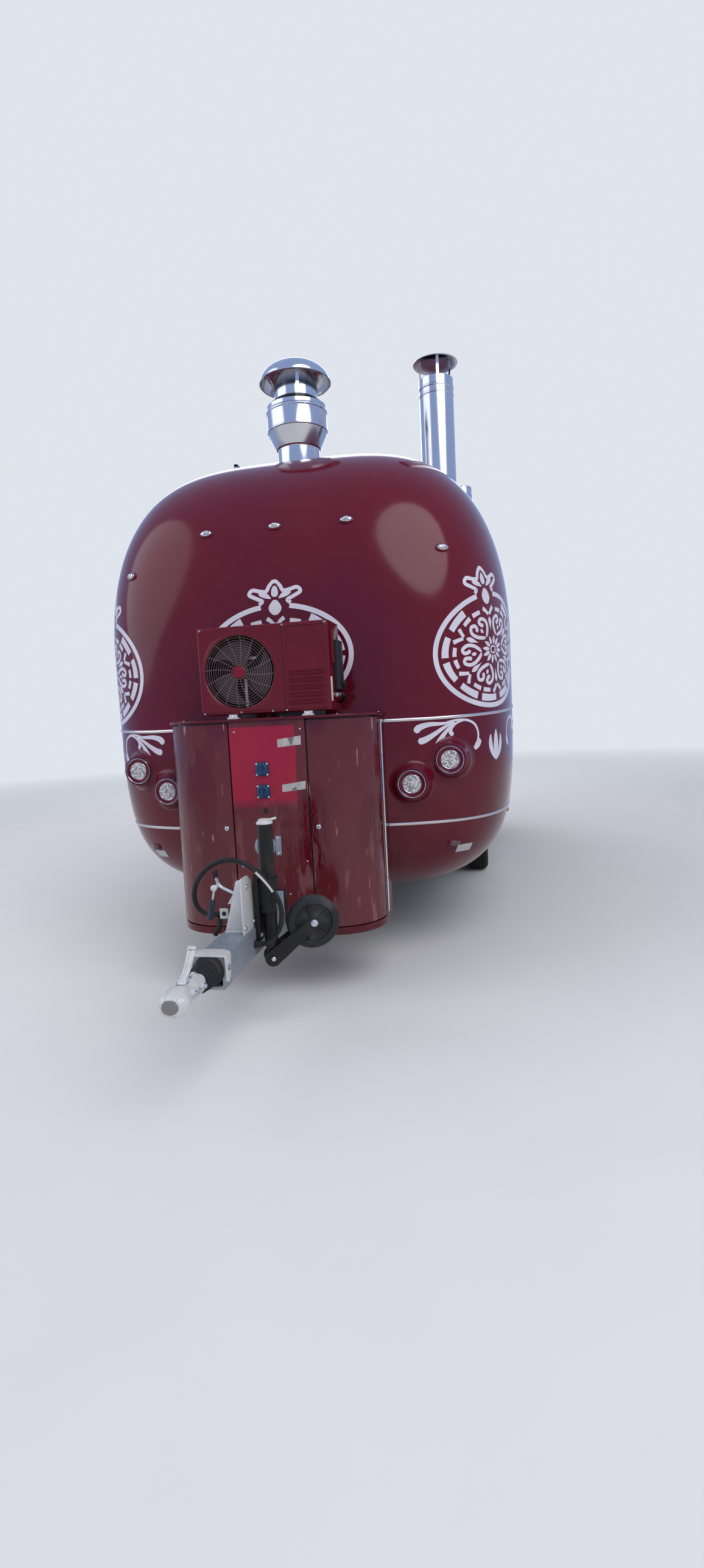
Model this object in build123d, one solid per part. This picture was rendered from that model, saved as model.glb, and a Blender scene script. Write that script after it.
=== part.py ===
from build123d import *
import math
import os

# Rounded catering kitchen trailer on two axles.
# Millimetres. +Z up, the drawbar points to -Y, +X is the road side and -X the kerb side.
# The origin is on the floor, under the middle of the whole outline.

# Body size and shape
body_length = 5200.0
body_half_width = 1170.0
cap_length = 1240.0
widest_height = 1700.0
roof_rise = 1110.0
belly_drop = 1400.0
skirt_height = 350.0
wall = 40.0
side_power = 3.75
roof_power = 2.2
belly_power = 5.74
nose_power = 3.85

# Reach of the coupling ahead of the body and of the lamps behind it
coupling_reach = 1450.0
side_proud = 32.0
frame_proud = 10.0
handle_proud = 22.0

# Belt strips around the body
belt_front_height = 1284.0
belt_side_height = 1346.0
belt_rise_start = 60.0
belt_rise_end = 1300.0
lower_strip_height = 759.0
strip_width = 16.0
strip_proud = 5.0
touch_gap = 0.3
joint_gap = 6.0

# Floor and running gear
floor_thickness = 30.0
rail_width = 60.0
rail_height = 110.0
rail_x = 560.0
axle_group_distance = 2760.0
axle_spacing = 720.0
tyre_radius = 295.0
tyre_width = 165.0
wheel_x = 908.0
rim_radius = 178.0
arch_radius = 345.0
arch_inner_x = 760.0
beam_size = 70.0
beam_height = 318.0
trailing_reach = 150.0
spindle_radius = 17.0
bearing_gap = 0.05

# Drawbar and coupling
drawbar_width = 120.0
drawbar_top = 475.0
drawbar_height = 120.0
drawbar_wall = 6.0
drawbar_front = -1070.0
drawbar_back = 700.0
shaft_radius = 30.0
shaft_height = 425.0
bellows_radius = 58.0

# Front locker
locker_half_width = 516.0
locker_front = -345.0
locker_side_start = -112.0
locker_side_end = 45.0
locker_bottom = 311.0
locker_top_height = 1330.0
locker_skin = 18.0
locker_lid = 14.0
seam_kerb = -155.0
seam_road = 207.0
seam_gap = 7.0
door_bottom = 350.0

# Air conditioner on the locker
conditioner_width = 620.0
conditioner_height = 402.0
conditioner_depth = 230.0
conditioner_x = 23.0
conditioner_front = -327.0
conditioner_foot = 20.0
fan_x = -92.0
fan_radius = 150.0

# Roof outlets
vent_distance = 679.0
flue_distance = 955.0
flue_x = 783.0
flue_radius = 100.0
flue_top = 3365.0

# Serving side
hatch_start = 1560.0
hatch_end = 3640.0
hatch_bottom = 1400.0
hatch_top = 2180.0
shelf_depth = 380.0
shelf_thickness = 20.0

# Rear door
door_half_width = 350.0
door_sill = 520.0
door_head = 2330.0
door_thickness = 36.0
door_frame_width = 45.0

# Steady legs at the rear
leg_distance = 4450.0
leg_x = 560.0
leg_size = 40.0
leg_pivot_height = 318.0
foot_half = 40.0

# Jockey wheel, folded up beside the drawbar
jockey_x = 112.0
jockey_distance = -715.0
outer_tube_radius = 32.0
inner_tube_radius = 28.0
jockey_wheel_radius = 112.0
jockey_wheel_width = 50.0
jockey_arm = 220.0
jockey_pivot_height = 340.0
jockey_fold_up = 36.0
jockey_swivel = 24.0

# Kitchen units
counter_depth = 560.0
counter_top = 1370.0
range_depth = 650.0
range_top = 1350.0
unit_start = 1500.0
unit_end = 3700.0
plinth_width = 60.0

floor_bottom = drawbar_top + touch_gap
floor_top = floor_bottom + floor_thickness
far_side = body_half_width + 230.0
overall_length = coupling_reach + body_length + frame_proud - 2 + handle_proud
nose_y = coupling_reach - overall_length / 2
axle_ys = [nose_y + axle_group_distance - axle_spacing / 2,
           nose_y + axle_group_distance + axle_spacing / 2]


def station(distance):
    """Y of a place that far behind the body's nose."""
    return nose_y + distance


def box(x0, x1, y0, y1, z0, z1):
    """Plain block between two corners."""
    return Pos((x0 + x1) / 2, (y0 + y1) / 2, (z0 + z1) / 2) * Box(x1 - x0, y1 - y0, z1 - z0)


def rod(start, end, radius):
    """Round bar from one point to another."""
    a = Vector(*start)
    b = Vector(*end)
    return Plane(origin=a, z_dir=b - a) * Cylinder(
        radius, (b - a).length, align=(Align.CENTER, Align.CENTER, Align.MIN))


def tube(start, end, radius, inner):
    """Round pipe, open at both ends."""
    a = Vector(*start)
    b = Vector(*end)
    more = (b - a).normalized()
    bore = rod(a - more, b + more, inner)
    return rod(start, end, radius) - bore


def prism_x(points, x0, x1):
    """Outline in Y and Z, carried along X."""
    face = Plane(origin=(x0, 0, 0), x_dir=(0, 1, 0), z_dir=(1, 0, 0)) * make_face(Polyline(*points, close=True))
    return extrude(face, amount=x1 - x0, dir=(1, 0, 0))


def prism_y(points, y0, y1):
    """Outline in X and Z, carried along Y."""
    face = Plane(origin=(0, y0, 0), x_dir=(1, 0, 0), z_dir=(0, -1, 0)) * make_face(Polyline(*points, close=True))
    return extrude(face, amount=y1 - y0, dir=(0, 1, 0))


def hinge(start, direction, length, radius, fixed_share=0.18):
    """Hinge line: fixed knuckles with their pin, the moving barrel, and the room that each needs in the other."""
    base = Vector(*start)
    way = Vector(*direction)
    first = base + way * (length * fixed_share)
    last = base + way * (length * (1 - fixed_share))
    end = base + way * length
    pin = radius * 0.5
    slack = way * 0.5
    fixed = rod(base, first, radius) + rod(last, end, radius) + rod(base, end, pin)
    moving = rod(first + slack, last - slack, radius) - rod(first, last, pin + bearing_gap)
    room_in_fixed = rod(first, last, radius + 0.6)
    room_in_moving = rod(base - slack, first + slack, radius + 0.6) + rod(last - slack, end + slack, radius + 0.6)
    room_in_moving += rod(base, end, pin + bearing_gap)
    return fixed, moving, room_in_fixed, room_in_moving


def one(shape):
    """The shape as its solids, largest first."""
    return sorted(shape.solids(), key=lambda s: -s.volume)


# Shares of the half width where the section's arcs start, pass and end
roof_arcs = [(0.70, 0.85, 0.95), (0.95, 0.99, 1.0)]
belly_arcs = [(0.70, 0.85, 0.93), (0.93, 0.97, 0.987), (0.987, 0.9998, 1.0)]

# The body is a rounded box: at each distance behind the nose its section
# is |x / half width| ^ side power + |height / half height| ^ roof or belly power = 1,
# and that section shrinks towards the nose by the nose power.
def fullness(distance, inset):
    """Share of the full section that is reached at a distance behind the nose."""
    depth = cap_length - inset
    behind = min(distance - inset, body_length - distance - inset)
    if behind >= depth:
        return 1.0
    return 1.0 - (1.0 - behind / depth) ** nose_power


def section_size(distance, inset):
    """Half width, rise and drop of the body's section."""
    full = fullness(distance, inset)
    return ((body_half_width - inset) * full ** (1 / side_power),
            (roof_rise - inset) * full ** (1 / roof_power),
            (belly_drop - inset) * full ** (1 / belly_power))


def section_height(share, size, power):
    """Height of the section above or below its widest line, at a share of its half width."""
    return size * (1 - share ** side_power) ** (1 / power)


def section_wire(distance, inset):
    """Closed outline of arcs through points of the section's formula."""
    half, rise, drop = section_size(distance, inset)
    y = station(distance)

    def up(share):
        x = math.copysign(half * abs(share), share)
        return Vector(x, y, widest_height + section_height(abs(share), rise, roof_power))

    def down(share):
        x = math.copysign(half * abs(share), share)
        return Vector(x, y, widest_height - section_height(abs(share), drop, belly_power))

    edges = [Edge.make_three_point_arc(up(-0.70), up(0.0), up(0.70))]
    for a, b, c in roof_arcs:
        edges.append(Edge.make_three_point_arc(up(a), up(b), up(c)))
    for c, b, a in reversed(belly_arcs):
        edges.append(Edge.make_three_point_arc(down(a), down(b), down(c)))
    edges.append(Edge.make_three_point_arc(down(0.70), down(0.0), down(-0.70)))
    for a, b, c in belly_arcs:
        edges.append(Edge.make_three_point_arc(down(-a), down(-b), down(-c)))
    for c, b, a in reversed(roof_arcs):
        edges.append(Edge.make_three_point_arc(up(-a), up(-b), up(-c)))
    return Wire(edges)


cap_shares = [0.0016, 0.012, 0.04, 0.10, 0.20, 0.36, 0.62, 1.0]


def body_solid(inset):
    """The whole body as one solid block, smaller all round by the inset."""
    depth = cap_length - inset
    front = [inset + share * depth for share in cap_shares]
    rear = [body_length - d for d in reversed(front)]
    wires = [section_wire(d, inset) for d in front + rear]
    return Solid.make_loft(wires, ruled=True)


def half_width_at(height, inset=0.0):
    """Half width of the body's full section at a height above the floor."""
    half, rise, drop = section_size(body_length / 2, inset)
    if height > widest_height:
        share = ((height - widest_height) / rise) ** roof_power
    else:
        share = ((widest_height - height) / drop) ** belly_power
    return half * (1 - share) ** (1 / side_power)


def roof_height(x, distance):
    """Height of the roof over a place."""
    half, rise, drop = section_size(distance, 0)
    return widest_height + section_height(abs(x) / half, rise, roof_power)


def face_distance(x, height, inset=0.0):
    """Distance behind the nose where the body's front meets a place."""
    reach = cap_length - inset
    size = roof_rise if height > widest_height else belly_drop
    power = roof_power if height > widest_height else belly_power
    used = (abs(x) / (body_half_width - inset)) ** side_power
    used += (abs(height - widest_height) / (size - inset)) ** power
    return inset + reach * (1 - (1 - used) ** (1 / nose_power))


outer = body_solid(0)
inner = body_solid(wall)
grown = body_solid(-strip_proud)
seat_body = body_solid(-touch_gap)

# Line of the upper strip, seen from the side
belt_line = [(station(-200), belt_front_height), (station(belt_rise_start), belt_front_height),
             (station(belt_rise_end), belt_side_height), (station(body_length - belt_rise_end), belt_side_height),
             (station(body_length - belt_rise_start), belt_front_height), (station(body_length + 200), belt_front_height)]


def beside_belt(bottom_shift, top_shift):
    """Slab along the belt line, from one height beside it to another."""
    low = [(y, z + bottom_shift) for y, z in belt_line]
    high = [(y, z + top_shift) for y, z in reversed(belt_line)]
    return prism_x(low + high, -far_side, far_side)


above_belt = beside_belt(0.0, 2200)
below_belt = beside_belt(-1400, 0.0)
front_block = box(-far_side, far_side, station(-50), station(cap_length), 0, 3200)
middle_block = box(-far_side, far_side, station(cap_length), station(body_length - cap_length), 0, 3200)
rear_block = box(-far_side, far_side, station(body_length - cap_length), station(body_length + 50), 0, 3200)
above_skirt = box(-far_side, far_side, station(-50), station(body_length + 50), skirt_height, 3200)

# The belly is open below the floor between the skirts, which turn in under it
belly_half_width = 700.0
belly_start = 480.0
belly_opening = box(-belly_half_width, belly_half_width, station(belly_start), station(body_length - belly_start),
                    0, floor_bottom)
drawbar_gap = 6.0
drawbar_passage = box(-drawbar_width / 2 - drawbar_gap, drawbar_width / 2 + drawbar_gap, station(-50),
                      station(belly_start + 50), 0, drawbar_top + drawbar_gap)
shell = ((outer - inner) & above_skirt) - belly_opening - drawbar_passage

# Wheel arches cut through the skirts
arch_low = axle_ys[0]
arch_high = axle_ys[1]


def arch_block(radius, x0, x1):
    """Long arch over both wheels of one side."""
    ends = rod((x0, arch_low, tyre_radius), (x1, arch_low, tyre_radius), radius)
    ends += rod((x0, arch_high, tyre_radius), (x1, arch_high, tyre_radius), radius)
    return ends + box(x0, x1, arch_low, arch_high, tyre_radius - radius, tyre_radius + radius)


arch_cut = arch_block(arch_radius, 700, far_side) + arch_block(arch_radius, -far_side, -700)

# Doorway at the rear, with a flat frame that stands out of the rounded end
frame_y = station(body_length + frame_proud)
frame_half = door_half_width + door_frame_width
frame_depth = 210.0
portal = box(-frame_half, frame_half, frame_y - frame_depth, frame_y + 100, door_sill - door_frame_width,
             door_head + door_frame_width)
doorway = box(-door_half_width, door_half_width, frame_y - frame_depth - 10, frame_y + 50, door_sill, door_head)

# Serving hatch opening in the kerb side
hatch_depth = 270.0
hatch_inside = -body_half_width + hatch_depth
hatch_hole = box(-far_side, hatch_inside, station(hatch_start), station(hatch_end), hatch_bottom, hatch_top)

parts = {}
upper = (shell & above_belt) - hatch_hole - portal
lower = (shell & below_belt) - arch_cut - portal
parts["upper_front_shell"] = upper & front_block
parts["upper_middle_shell"] = upper & middle_block
parts["upper_rear_shell"] = upper & rear_block
parts["lower_front_shell"] = lower & front_block
parts["lower_side_walls"] = lower & middle_block
parts["lower_rear_shell"] = lower & rear_block

# Bright strips
locker_zone = box(-locker_half_width - touch_gap, locker_half_width + touch_gap, station(-500), station(400), 0,
                  locker_top_height + touch_gap)
strip_ring = grown - seat_body - portal - locker_zone
upper_strip = strip_ring & beside_belt(-strip_width / 2, strip_width / 2)
lower_band = box(-far_side, far_side, station(-50), station(body_length + 50), lower_strip_height - strip_width / 2,
                 lower_strip_height + strip_width / 2)
parts["trim_strips"] = Compound(children=one(upper_strip) + one(strip_ring & lower_band))

# Rear door frame: a deep flat ring that reaches from the door's face back through the shell
door_face = box(-frame_half, frame_half, frame_y - frame_depth, frame_y, door_sill - door_frame_width,
                door_head + door_frame_width)
parts["rear_door_frame"] = door_face - doorway

# Floor panel, with notches for the wheel arches
liner_skin = 4.0
notch_radius = arch_radius + liner_skin + touch_gap
floor_slab = box(-far_side, far_side, station(-10), station(body_length + 10), floor_bottom, floor_top)
floor_panel = floor_slab & body_solid(wall + touch_gap)
notch_x = arch_inner_x - touch_gap
floor_panel = floor_panel - arch_block(notch_radius, notch_x, far_side) - arch_block(notch_radius, -far_side, -notch_x)
parts["floor_panel"] = floor_panel - portal

# Wheel arch liners: a thin arch with its inner side closed
arches = []
for side in (-1, 1):
    reach_in = side * arch_inner_x
    reach_out = side * far_side
    x0, x1 = sorted((reach_in, reach_out))
    shift = side * liner_skin
    sheet = arch_block(arch_radius + liner_skin, x0, x1) - arch_block(arch_radius, x0 + shift, x1 + shift)
    sheet = sheet & body_solid(wall + touch_gap) & box(-far_side, far_side, -4000, 4000, skirt_height, 3000)
    arches.append(one(sheet)[0])
parts["wheel_arches"] = Compound(children=arches)

# Chassis: two long rails with cross members, and brackets for the axles and legs
rail_top = drawbar_top
rail_bottom = rail_top - rail_height
chassis_start = 560.0
chassis_end = 4640.0
chassis = None
for side in (-1, 1):
    rail = box(side * rail_x - rail_width / 2, side * rail_x + rail_width / 2, station(chassis_start),
               station(chassis_end), rail_bottom, rail_top)
    chassis = rail if chassis is None else chassis + rail
cross_distances = [590.0, 1500.0, 2130.0, 2760.0, 3390.0, 4000.0, 4610.0]
for distance in cross_distances:
    chassis += box(-rail_x, rail_x, station(distance) - 25, station(distance) + 25, rail_top - 80, rail_top)
for side in (-1, 1):
    for y in axle_ys:
        beam_y = y - trailing_reach
        chassis += box(side * rail_x - 20, side * rail_x + 20, beam_y - 60, beam_y + 60,
                       beam_height + beam_size / 2, rail_bottom)
drawbar_slot = box(-drawbar_width / 2, drawbar_width / 2, station(0), station(drawbar_back),
                   drawbar_top - drawbar_height, drawbar_top)
chassis -= drawbar_slot

# Legs hang from a pin between two ears under each rail
ear_gap = leg_size / 2 + 0.5
for side in (-1, 1):
    for offset in (-1, 1):
        ear_x = side * leg_x + offset * (ear_gap + 4)
        chassis += box(ear_x - 4, ear_x + 4, station(leg_distance) - 28, station(leg_distance) + 28,
                       leg_pivot_height - 26, rail_bottom)
    chassis += rod((side * leg_x - ear_gap - 14, station(leg_distance), leg_pivot_height),
                   (side * leg_x + ear_gap + 14, station(leg_distance), leg_pivot_height), 10)
parts["chassis_frame"] = chassis

# Drawbar: a hollow box beam under the locker and the floor
drawbar_base = drawbar_top - drawbar_height
drawbar = box(-drawbar_width / 2, drawbar_width / 2, station(drawbar_front), station(drawbar_back),
              drawbar_base, drawbar_top)
drawbar -= box(-drawbar_width / 2 + drawbar_wall, drawbar_width / 2 - drawbar_wall, station(drawbar_front) - 10,
               station(drawbar_back) - 10, drawbar_base + drawbar_wall, drawbar_top - drawbar_wall)
drawbar += box(-drawbar_width / 2, drawbar_width / 2, station(drawbar_front) + 2, station(drawbar_front) + 14,
               drawbar_base, drawbar_top) - rod((0, station(drawbar_front) - 5, shaft_height),
                                                (0, station(drawbar_front) + 30, shaft_height), shaft_radius + 1)
parts["drawbar"] = drawbar

# Axles: a square beam, two trailing arms and two spindles
names = ["front", "rear"]
for name, y in zip(names, axle_ys):
    beam_y = y - trailing_reach
    axle = box(-700, 700, beam_y - beam_size / 2, beam_y + beam_size / 2, beam_height - beam_size / 2,
               beam_height + beam_size / 2)
    for side in (-1, 1):
        arm_in = side * 700
        arm_out = side * 730
        x0, x1 = sorted((arm_in, arm_out))
        axle += rod((x0, beam_y, beam_height), (x1, beam_y, beam_height), 42)
        axle += rod((x0, y, tyre_radius), (x1, y, tyre_radius), 32)
        axle += box(x0, x1, beam_y, y, tyre_radius - 26, beam_height + 22)
        axle += rod((side * 715, y, tyre_radius), (side * 930, y, tyre_radius), spindle_radius)
        axle += rod((side * 730, y, tyre_radius), (side * 742, y, tyre_radius), 85)
    parts[name + "_axle"] = axle

# Wheels: tyre and pressed rim with its hub and drum, each turned about X
tyre_profile = [(rim_radius, -tyre_width / 2 + 14), (rim_radius + 30, -tyre_width / 2 + 2),
                (rim_radius + 62, -tyre_width / 2), (tyre_radius - 26, -tyre_width / 2 + 4),
                (tyre_radius - 7, -tyre_width / 2 + 18), (tyre_radius, -tyre_width / 2 + 34),
                (tyre_radius, tyre_width / 2 - 34), (tyre_radius - 7, tyre_width / 2 - 18),
                (tyre_radius - 26, tyre_width / 2 - 4), (rim_radius + 62, tyre_width / 2),
                (rim_radius + 30, tyre_width / 2 - 2), (rim_radius, tyre_width / 2 - 14)]
rim_outer = rim_radius - touch_gap
rim_profile = [(spindle_radius + bearing_gap, -78), (62, -78), (62, -20), (95, -20), (95, -60), (128, -60),
               (128, 12), (rim_outer - 26, 30), (rim_outer - 12, 8), (rim_outer - 12, -64), (rim_outer, -64),
               (rim_outer, 68), (rim_outer - 12, 68), (rim_outer - 12, 40), (118, 26), (70, 30), (62, 52),
               (44, 58), (44, 74), (spindle_radius + bearing_gap, 74)]


def turned(profile, side, y, z, x):
    """Outline of radius and offset, turned about an X line; the offset points outwards."""
    points = [(side * offset, radius) for radius, offset in profile]
    face = make_face(Polyline(*points, close=True))
    solid = revolve(face, axis=Axis.X, revolution_arc=360)
    return Pos(x, y, z) * solid


for name, y in zip(names, axle_ys):
    for word, side in (("kerb", -1), ("road", 1)):
        parts[f"{name}_{word}_tyre"] = turned(tyre_profile, side, y, tyre_radius, side * wheel_x)
        parts[f"{name}_{word}_rim"] = turned(rim_profile, side, y, tyre_radius, side * wheel_x)

# Overrun shaft with its ribbed bellows
shaft = rod((0, station(drawbar_front) + 120, shaft_height), (0, station(-1290), shaft_height), shaft_radius)
bellows_start = station(-1215)
bellows_end = station(drawbar_front)
rib_count = 4
pitch = (bellows_end - bellows_start) / rib_count
for index in range(rib_count):
    y = bellows_start + index * pitch
    radius = bellows_radius - 6 * (rib_count - 1 - index) / 3
    shaft += rod((0, y, shaft_height), (0, y + pitch * 0.62, shaft_height), radius)
    shaft += rod((0, y + pitch * 0.5, shaft_height), (0, y + pitch - 0.5, shaft_height), radius - 9)
parts["overrun_shaft"] = shaft

# Coupling head: a cast socket on the shaft
head_front = station(-coupling_reach)
ball_y = head_front + 52
ball_radius = 25.5
head_z = shaft_height
head = rod((0, station(-1225), head_z), (0, station(-1300), head_z), 41)
neck_half = 34
head += box(-neck_half, neck_half, station(-1385), station(-1295), head_z - 26, head_z + 36)
head += rod((0, ball_y, head_z - 34), (0, ball_y, head_z + 34), 52)
head += box(-40, 40, ball_y, station(-1360), head_z - 30, head_z + 34)
for side in (-1, 1):
    head += rod((side * 33, station(-1335), head_z + 8), (side * 46, station(-1335), head_z + 8), 12)
head -= rod((0, station(-1225) + 1, head_z), (0, station(-1292), head_z), shaft_radius + 0.3)
head -= Pos(0, ball_y, head_z - 14) * Sphere(ball_radius)
head -= rod((0, ball_y, head_z - 60), (0, ball_y, head_z - 14), ball_radius)
parts["coupling_head"] = head

# Grip of the coupling, standing up and back
grip = prism_x([(station(-1342), head_z + 40), (station(-1320), head_z + 40), (station(-1238), head_z + 118),
                (station(-1240), head_z + 134), (station(-1262), head_z + 130)], -15, 15)
grip += box(-12, 12, station(-1344), station(-1322), head_z + 36.3, head_z + 42)
parts["coupling_handle"] = grip

# Front locker: bowed plan with round corners, in panels
front_y = station(locker_front)
side_y = station(locker_side_start)


def locker_plan(inset, back_y):
    """Closed plan of the locker, smaller by the inset, as a face at height zero."""
    half = locker_half_width - inset
    top_y = front_y + inset
    flat = 300.0
    bend = Vector(half - (half - flat) * 0.27, side_y - (side_y - top_y) * 0.66)
    left_bend = Vector(-bend.X, bend.Y)
    edges = [Edge.make_line(Vector(-flat, top_y), Vector(flat, top_y)),
             Edge.make_three_point_arc(Vector(flat, top_y), bend, Vector(half, side_y)),
             Edge.make_line(Vector(half, side_y), Vector(half, back_y)),
             Edge.make_line(Vector(half, back_y), Vector(-half, back_y)),
             Edge.make_line(Vector(-half, back_y), Vector(-half, side_y)),
             Edge.make_three_point_arc(Vector(-half, side_y), left_bend, Vector(-flat, top_y))]
    return Face(Wire(edges))


def locker_block(inset, back_y, z0, z1):
    """The locker's plan carried up from one height to another."""
    return extrude(Pos(0, 0, z0) * locker_plan(inset, back_y), amount=z1 - z0, dir=(0, 0, 1))


back_y = station(locker_side_end)
full_block = locker_block(0, back_y, locker_bottom, locker_top_height - locker_lid)
hollow = locker_block(locker_skin, back_y + 100, locker_bottom + locker_skin, locker_top_height)
skin = full_block - hollow
bar_notch = box(-drawbar_width / 2 - 8, drawbar_width / 2 + 8, front_y - 50, back_y + 50, 0, drawbar_top + 6)
door_zone = box(-600, 600, front_y - 20, side_y, door_bottom, locker_top_height)
centre_panel = (skin & box(seam_kerb, seam_road, front_y - 20, front_y + locker_skin, locker_bottom - 10,
                           locker_top_height)) - bar_notch
parts["locker_centre_panel"] = centre_panel
kerb_zone = box(-600, seam_kerb - seam_gap, front_y - 20, side_y - 3, door_bottom, locker_top_height)
road_zone = box(seam_road + seam_gap, 600, front_y - 20, side_y - 3, door_bottom, locker_top_height)
door_clip = box(-600, 600, front_y - 20, back_y, door_bottom, locker_top_height - locker_lid - joint_gap)
locker_doors = {-1: skin & kerb_zone & door_clip, 1: skin & road_zone & door_clip}
cabinet = skin - door_zone - bar_notch
low_part = (cabinet & box(-600, 600, front_y - 20, side_y + 2, 0, door_bottom - joint_gap)) - box(
    seam_kerb - touch_gap, seam_road + touch_gap, front_y - 20, front_y + locker_skin + touch_gap, 0, 2000)
back_part = cabinet & box(-600, 600, side_y, back_y + 1, 0, 2000)
rim_inset = locker_skin + joint_gap
lid_bottom = locker_top_height - locker_lid
rim = locker_block(rim_inset, back_y, lid_bottom - 26, lid_bottom) - locker_block(
    rim_inset + 26, back_y + 100, lid_bottom - 30, lid_bottom + 10)
rim += (locker_block(locker_skin, back_y, lid_bottom - 26, lid_bottom) - locker_block(
    rim_inset + 1, back_y + 100, lid_bottom - 30, lid_bottom + 10)) & box(-600, 600, side_y, back_y, 0, 2000)
centre_post = box(seam_kerb + 20, seam_road - 20, front_y + locker_skin + touch_gap, front_y + rim_inset + 26,
                  drawbar_top + 20, lid_bottom)
cabinet = (low_part + back_part + rim + centre_post) - seat_body
# The locker's doors hang on a hinge line along each side edge
for side, word in ((-1, "kerb"), (1, "road")):
    hinge_start = (side * (locker_half_width + 3), side_y, door_bottom + 10)
    fixed, moving, room_in_fixed, room_in_moving = hinge(hinge_start, (0, 0, 1), lid_bottom - door_bottom - 30, 6)
    cabinet = (cabinet - room_in_fixed) + fixed
    parts[f"locker_{word}_door"] = (locker_doors[side] - room_in_moving) + moving
parts["locker_cabinet"] = cabinet
lid = locker_block(-14, back_y, locker_top_height - locker_lid, locker_top_height)
lid = lid - seat_body
parts["locker_top"] = lid

# Air conditioner: casing with a round fan opening, its valve cover and feet
ac_x0 = conditioner_x - conditioner_width / 2
ac_x1 = conditioner_x + conditioner_width / 2
ac_y0 = station(conditioner_front)
ac_y1 = ac_y0 + conditioner_depth
ac_z0 = locker_top_height + conditioner_foot
ac_z1 = ac_z0 + conditioner_height
fan_z = ac_z0 + conditioner_height / 2 - 8
casing = box(ac_x0, ac_x1, ac_y0, ac_y1, ac_z0, ac_z1)
casing -= rod((fan_x, ac_y0 - 10, fan_z), (fan_x, ac_y0 + 110, fan_z), fan_radius + 16)
casing += box(ac_x1 - 1, ac_x1 + 26, ac_y0 + 90, ac_y1 - 30, ac_z0 + 90, ac_z1 - 80)
for foot_x in (ac_x0 + 150, ac_x1 - 110):
    casing += box(foot_x - 22, foot_x + 22, ac_y0 - 12, ac_y1 + 12, locker_top_height, ac_z0 + 1)
casing += rod((fan_x, ac_y0 + 60, fan_z), (fan_x, ac_y0 + 111, fan_z), 20)
fan_shaft = 6.0
casing += rod((fan_x, ac_y0 + 28, fan_z), (fan_x, ac_y0 + 61, fan_z), fan_shaft)
parts["conditioner_casing"] = casing

# Fan: a hub with three slanted blades
fan = rod((fan_x, ac_y0 + 22, fan_z), (fan_x, ac_y0 + 59, fan_z), 32)
blade = Pos(85, 0, 0) * Rot(X=28) * Box(115, 62, 3)
for index in range(3):
    turn = Rot(Z=120 * index + 90) * blade
    fan += Pos(fan_x, ac_y0 + 40, fan_z) * Rot(X=90) * turn
fan -= rod((fan_x, ac_y0 + 27, fan_z), (fan_x, ac_y0 + 60, fan_z), fan_shaft + bearing_gap)
parts["conditioner_fan"] = fan

# Large roof vent: base ring, cone, body, neck and hood, as one turned piece
vent_y = station(vent_distance)
vent_base = roof_height(0, vent_distance)
vent_outline = [(0, -40), (122, -40), (122, 62), (128, 66), (172, 158), (172, 258), (180, 266), (172, 274), (172, 300),
                (126, 330), (126, 462), (118, 462), (118, 474), (196, 474), (205, 482), (150, 530), (60, 548), (0, 550)]
vent = revolve(make_face(Plane.XZ * Polyline(*vent_outline, close=True)), axis=Axis.Z, revolution_arc=360)
vent = Pos(0, vent_y, vent_base) * vent
parts["main_roof_vent"] = one(vent - seat_body)[0]

# Tall flue with a rain cap on legs, short open flue, and a bent vent pipe
flue_y = station(flue_distance)
flue = tube((flue_x, flue_y, roof_height(flue_x + flue_radius, flue_distance) - 60),
            (flue_x, flue_y, flue_top - 60), flue_radius, flue_radius - 3)
flue += rod((flue_x, flue_y, flue_top - 28), (flue_x, flue_y, flue_top - 22), 128)
for index in range(3):
    angle = math.radians(120 * index + 40)
    px = flue_x + (flue_radius - 2) * math.cos(angle)
    py = flue_y + (flue_radius - 2) * math.sin(angle)
    flue += rod((px, py, flue_top - 120), (px, py, flue_top - 24), 5)
cap_profile = [(0, 0), (128, 0), (130, 3), (0, 36)]
cap = revolve(make_face(Plane.XZ * Polyline(*cap_profile, close=True)), axis=Axis.Z, revolution_arc=360)
flue += Pos(flue_x, flue_y, flue_top - 25) * cap
flue = one(flue - seat_body)[0]
short_y = station(1180)
short_x = 905.0
short = tube((short_x, short_y, roof_height(short_x + 60, 1180) - 80), (short_x, short_y, 2690), 62, 59)
short = one(short - seat_body)[0]
bent_y = station(1150)
bent_x = -215.0
bent_base = roof_height(bent_x, 1150)
bent = rod((bent_x, bent_y, bent_base - 40), (bent_x, bent_y, bent_base + 70), 34)
bent += tube((bent_x, bent_y, bent_base + 60), (bent_x, bent_y, bent_base + 170), 24, 21)
bent_path = Wire([Edge.make_three_point_arc(Vector(bent_x, bent_y, bent_base + 170),
                                            Vector(bent_x + 13, bent_y, bent_base + 201),
                                            Vector(bent_x + 44, bent_y, bent_base + 214)),
                  Edge.make_line(Vector(bent_x + 44, bent_y, bent_base + 214),
                                 Vector(bent_x + 90, bent_y, bent_base + 214))])
bend_section = Plane(origin=(bent_x, bent_y, bent_base + 170), z_dir=(0, 0, 1)) * Circle(24)
bent += sweep(bend_section, path=bent_path)
bent = one(bent - seat_body)[0]
parts["roof_flues"] = Compound(children=[flue, short, bent])

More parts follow.
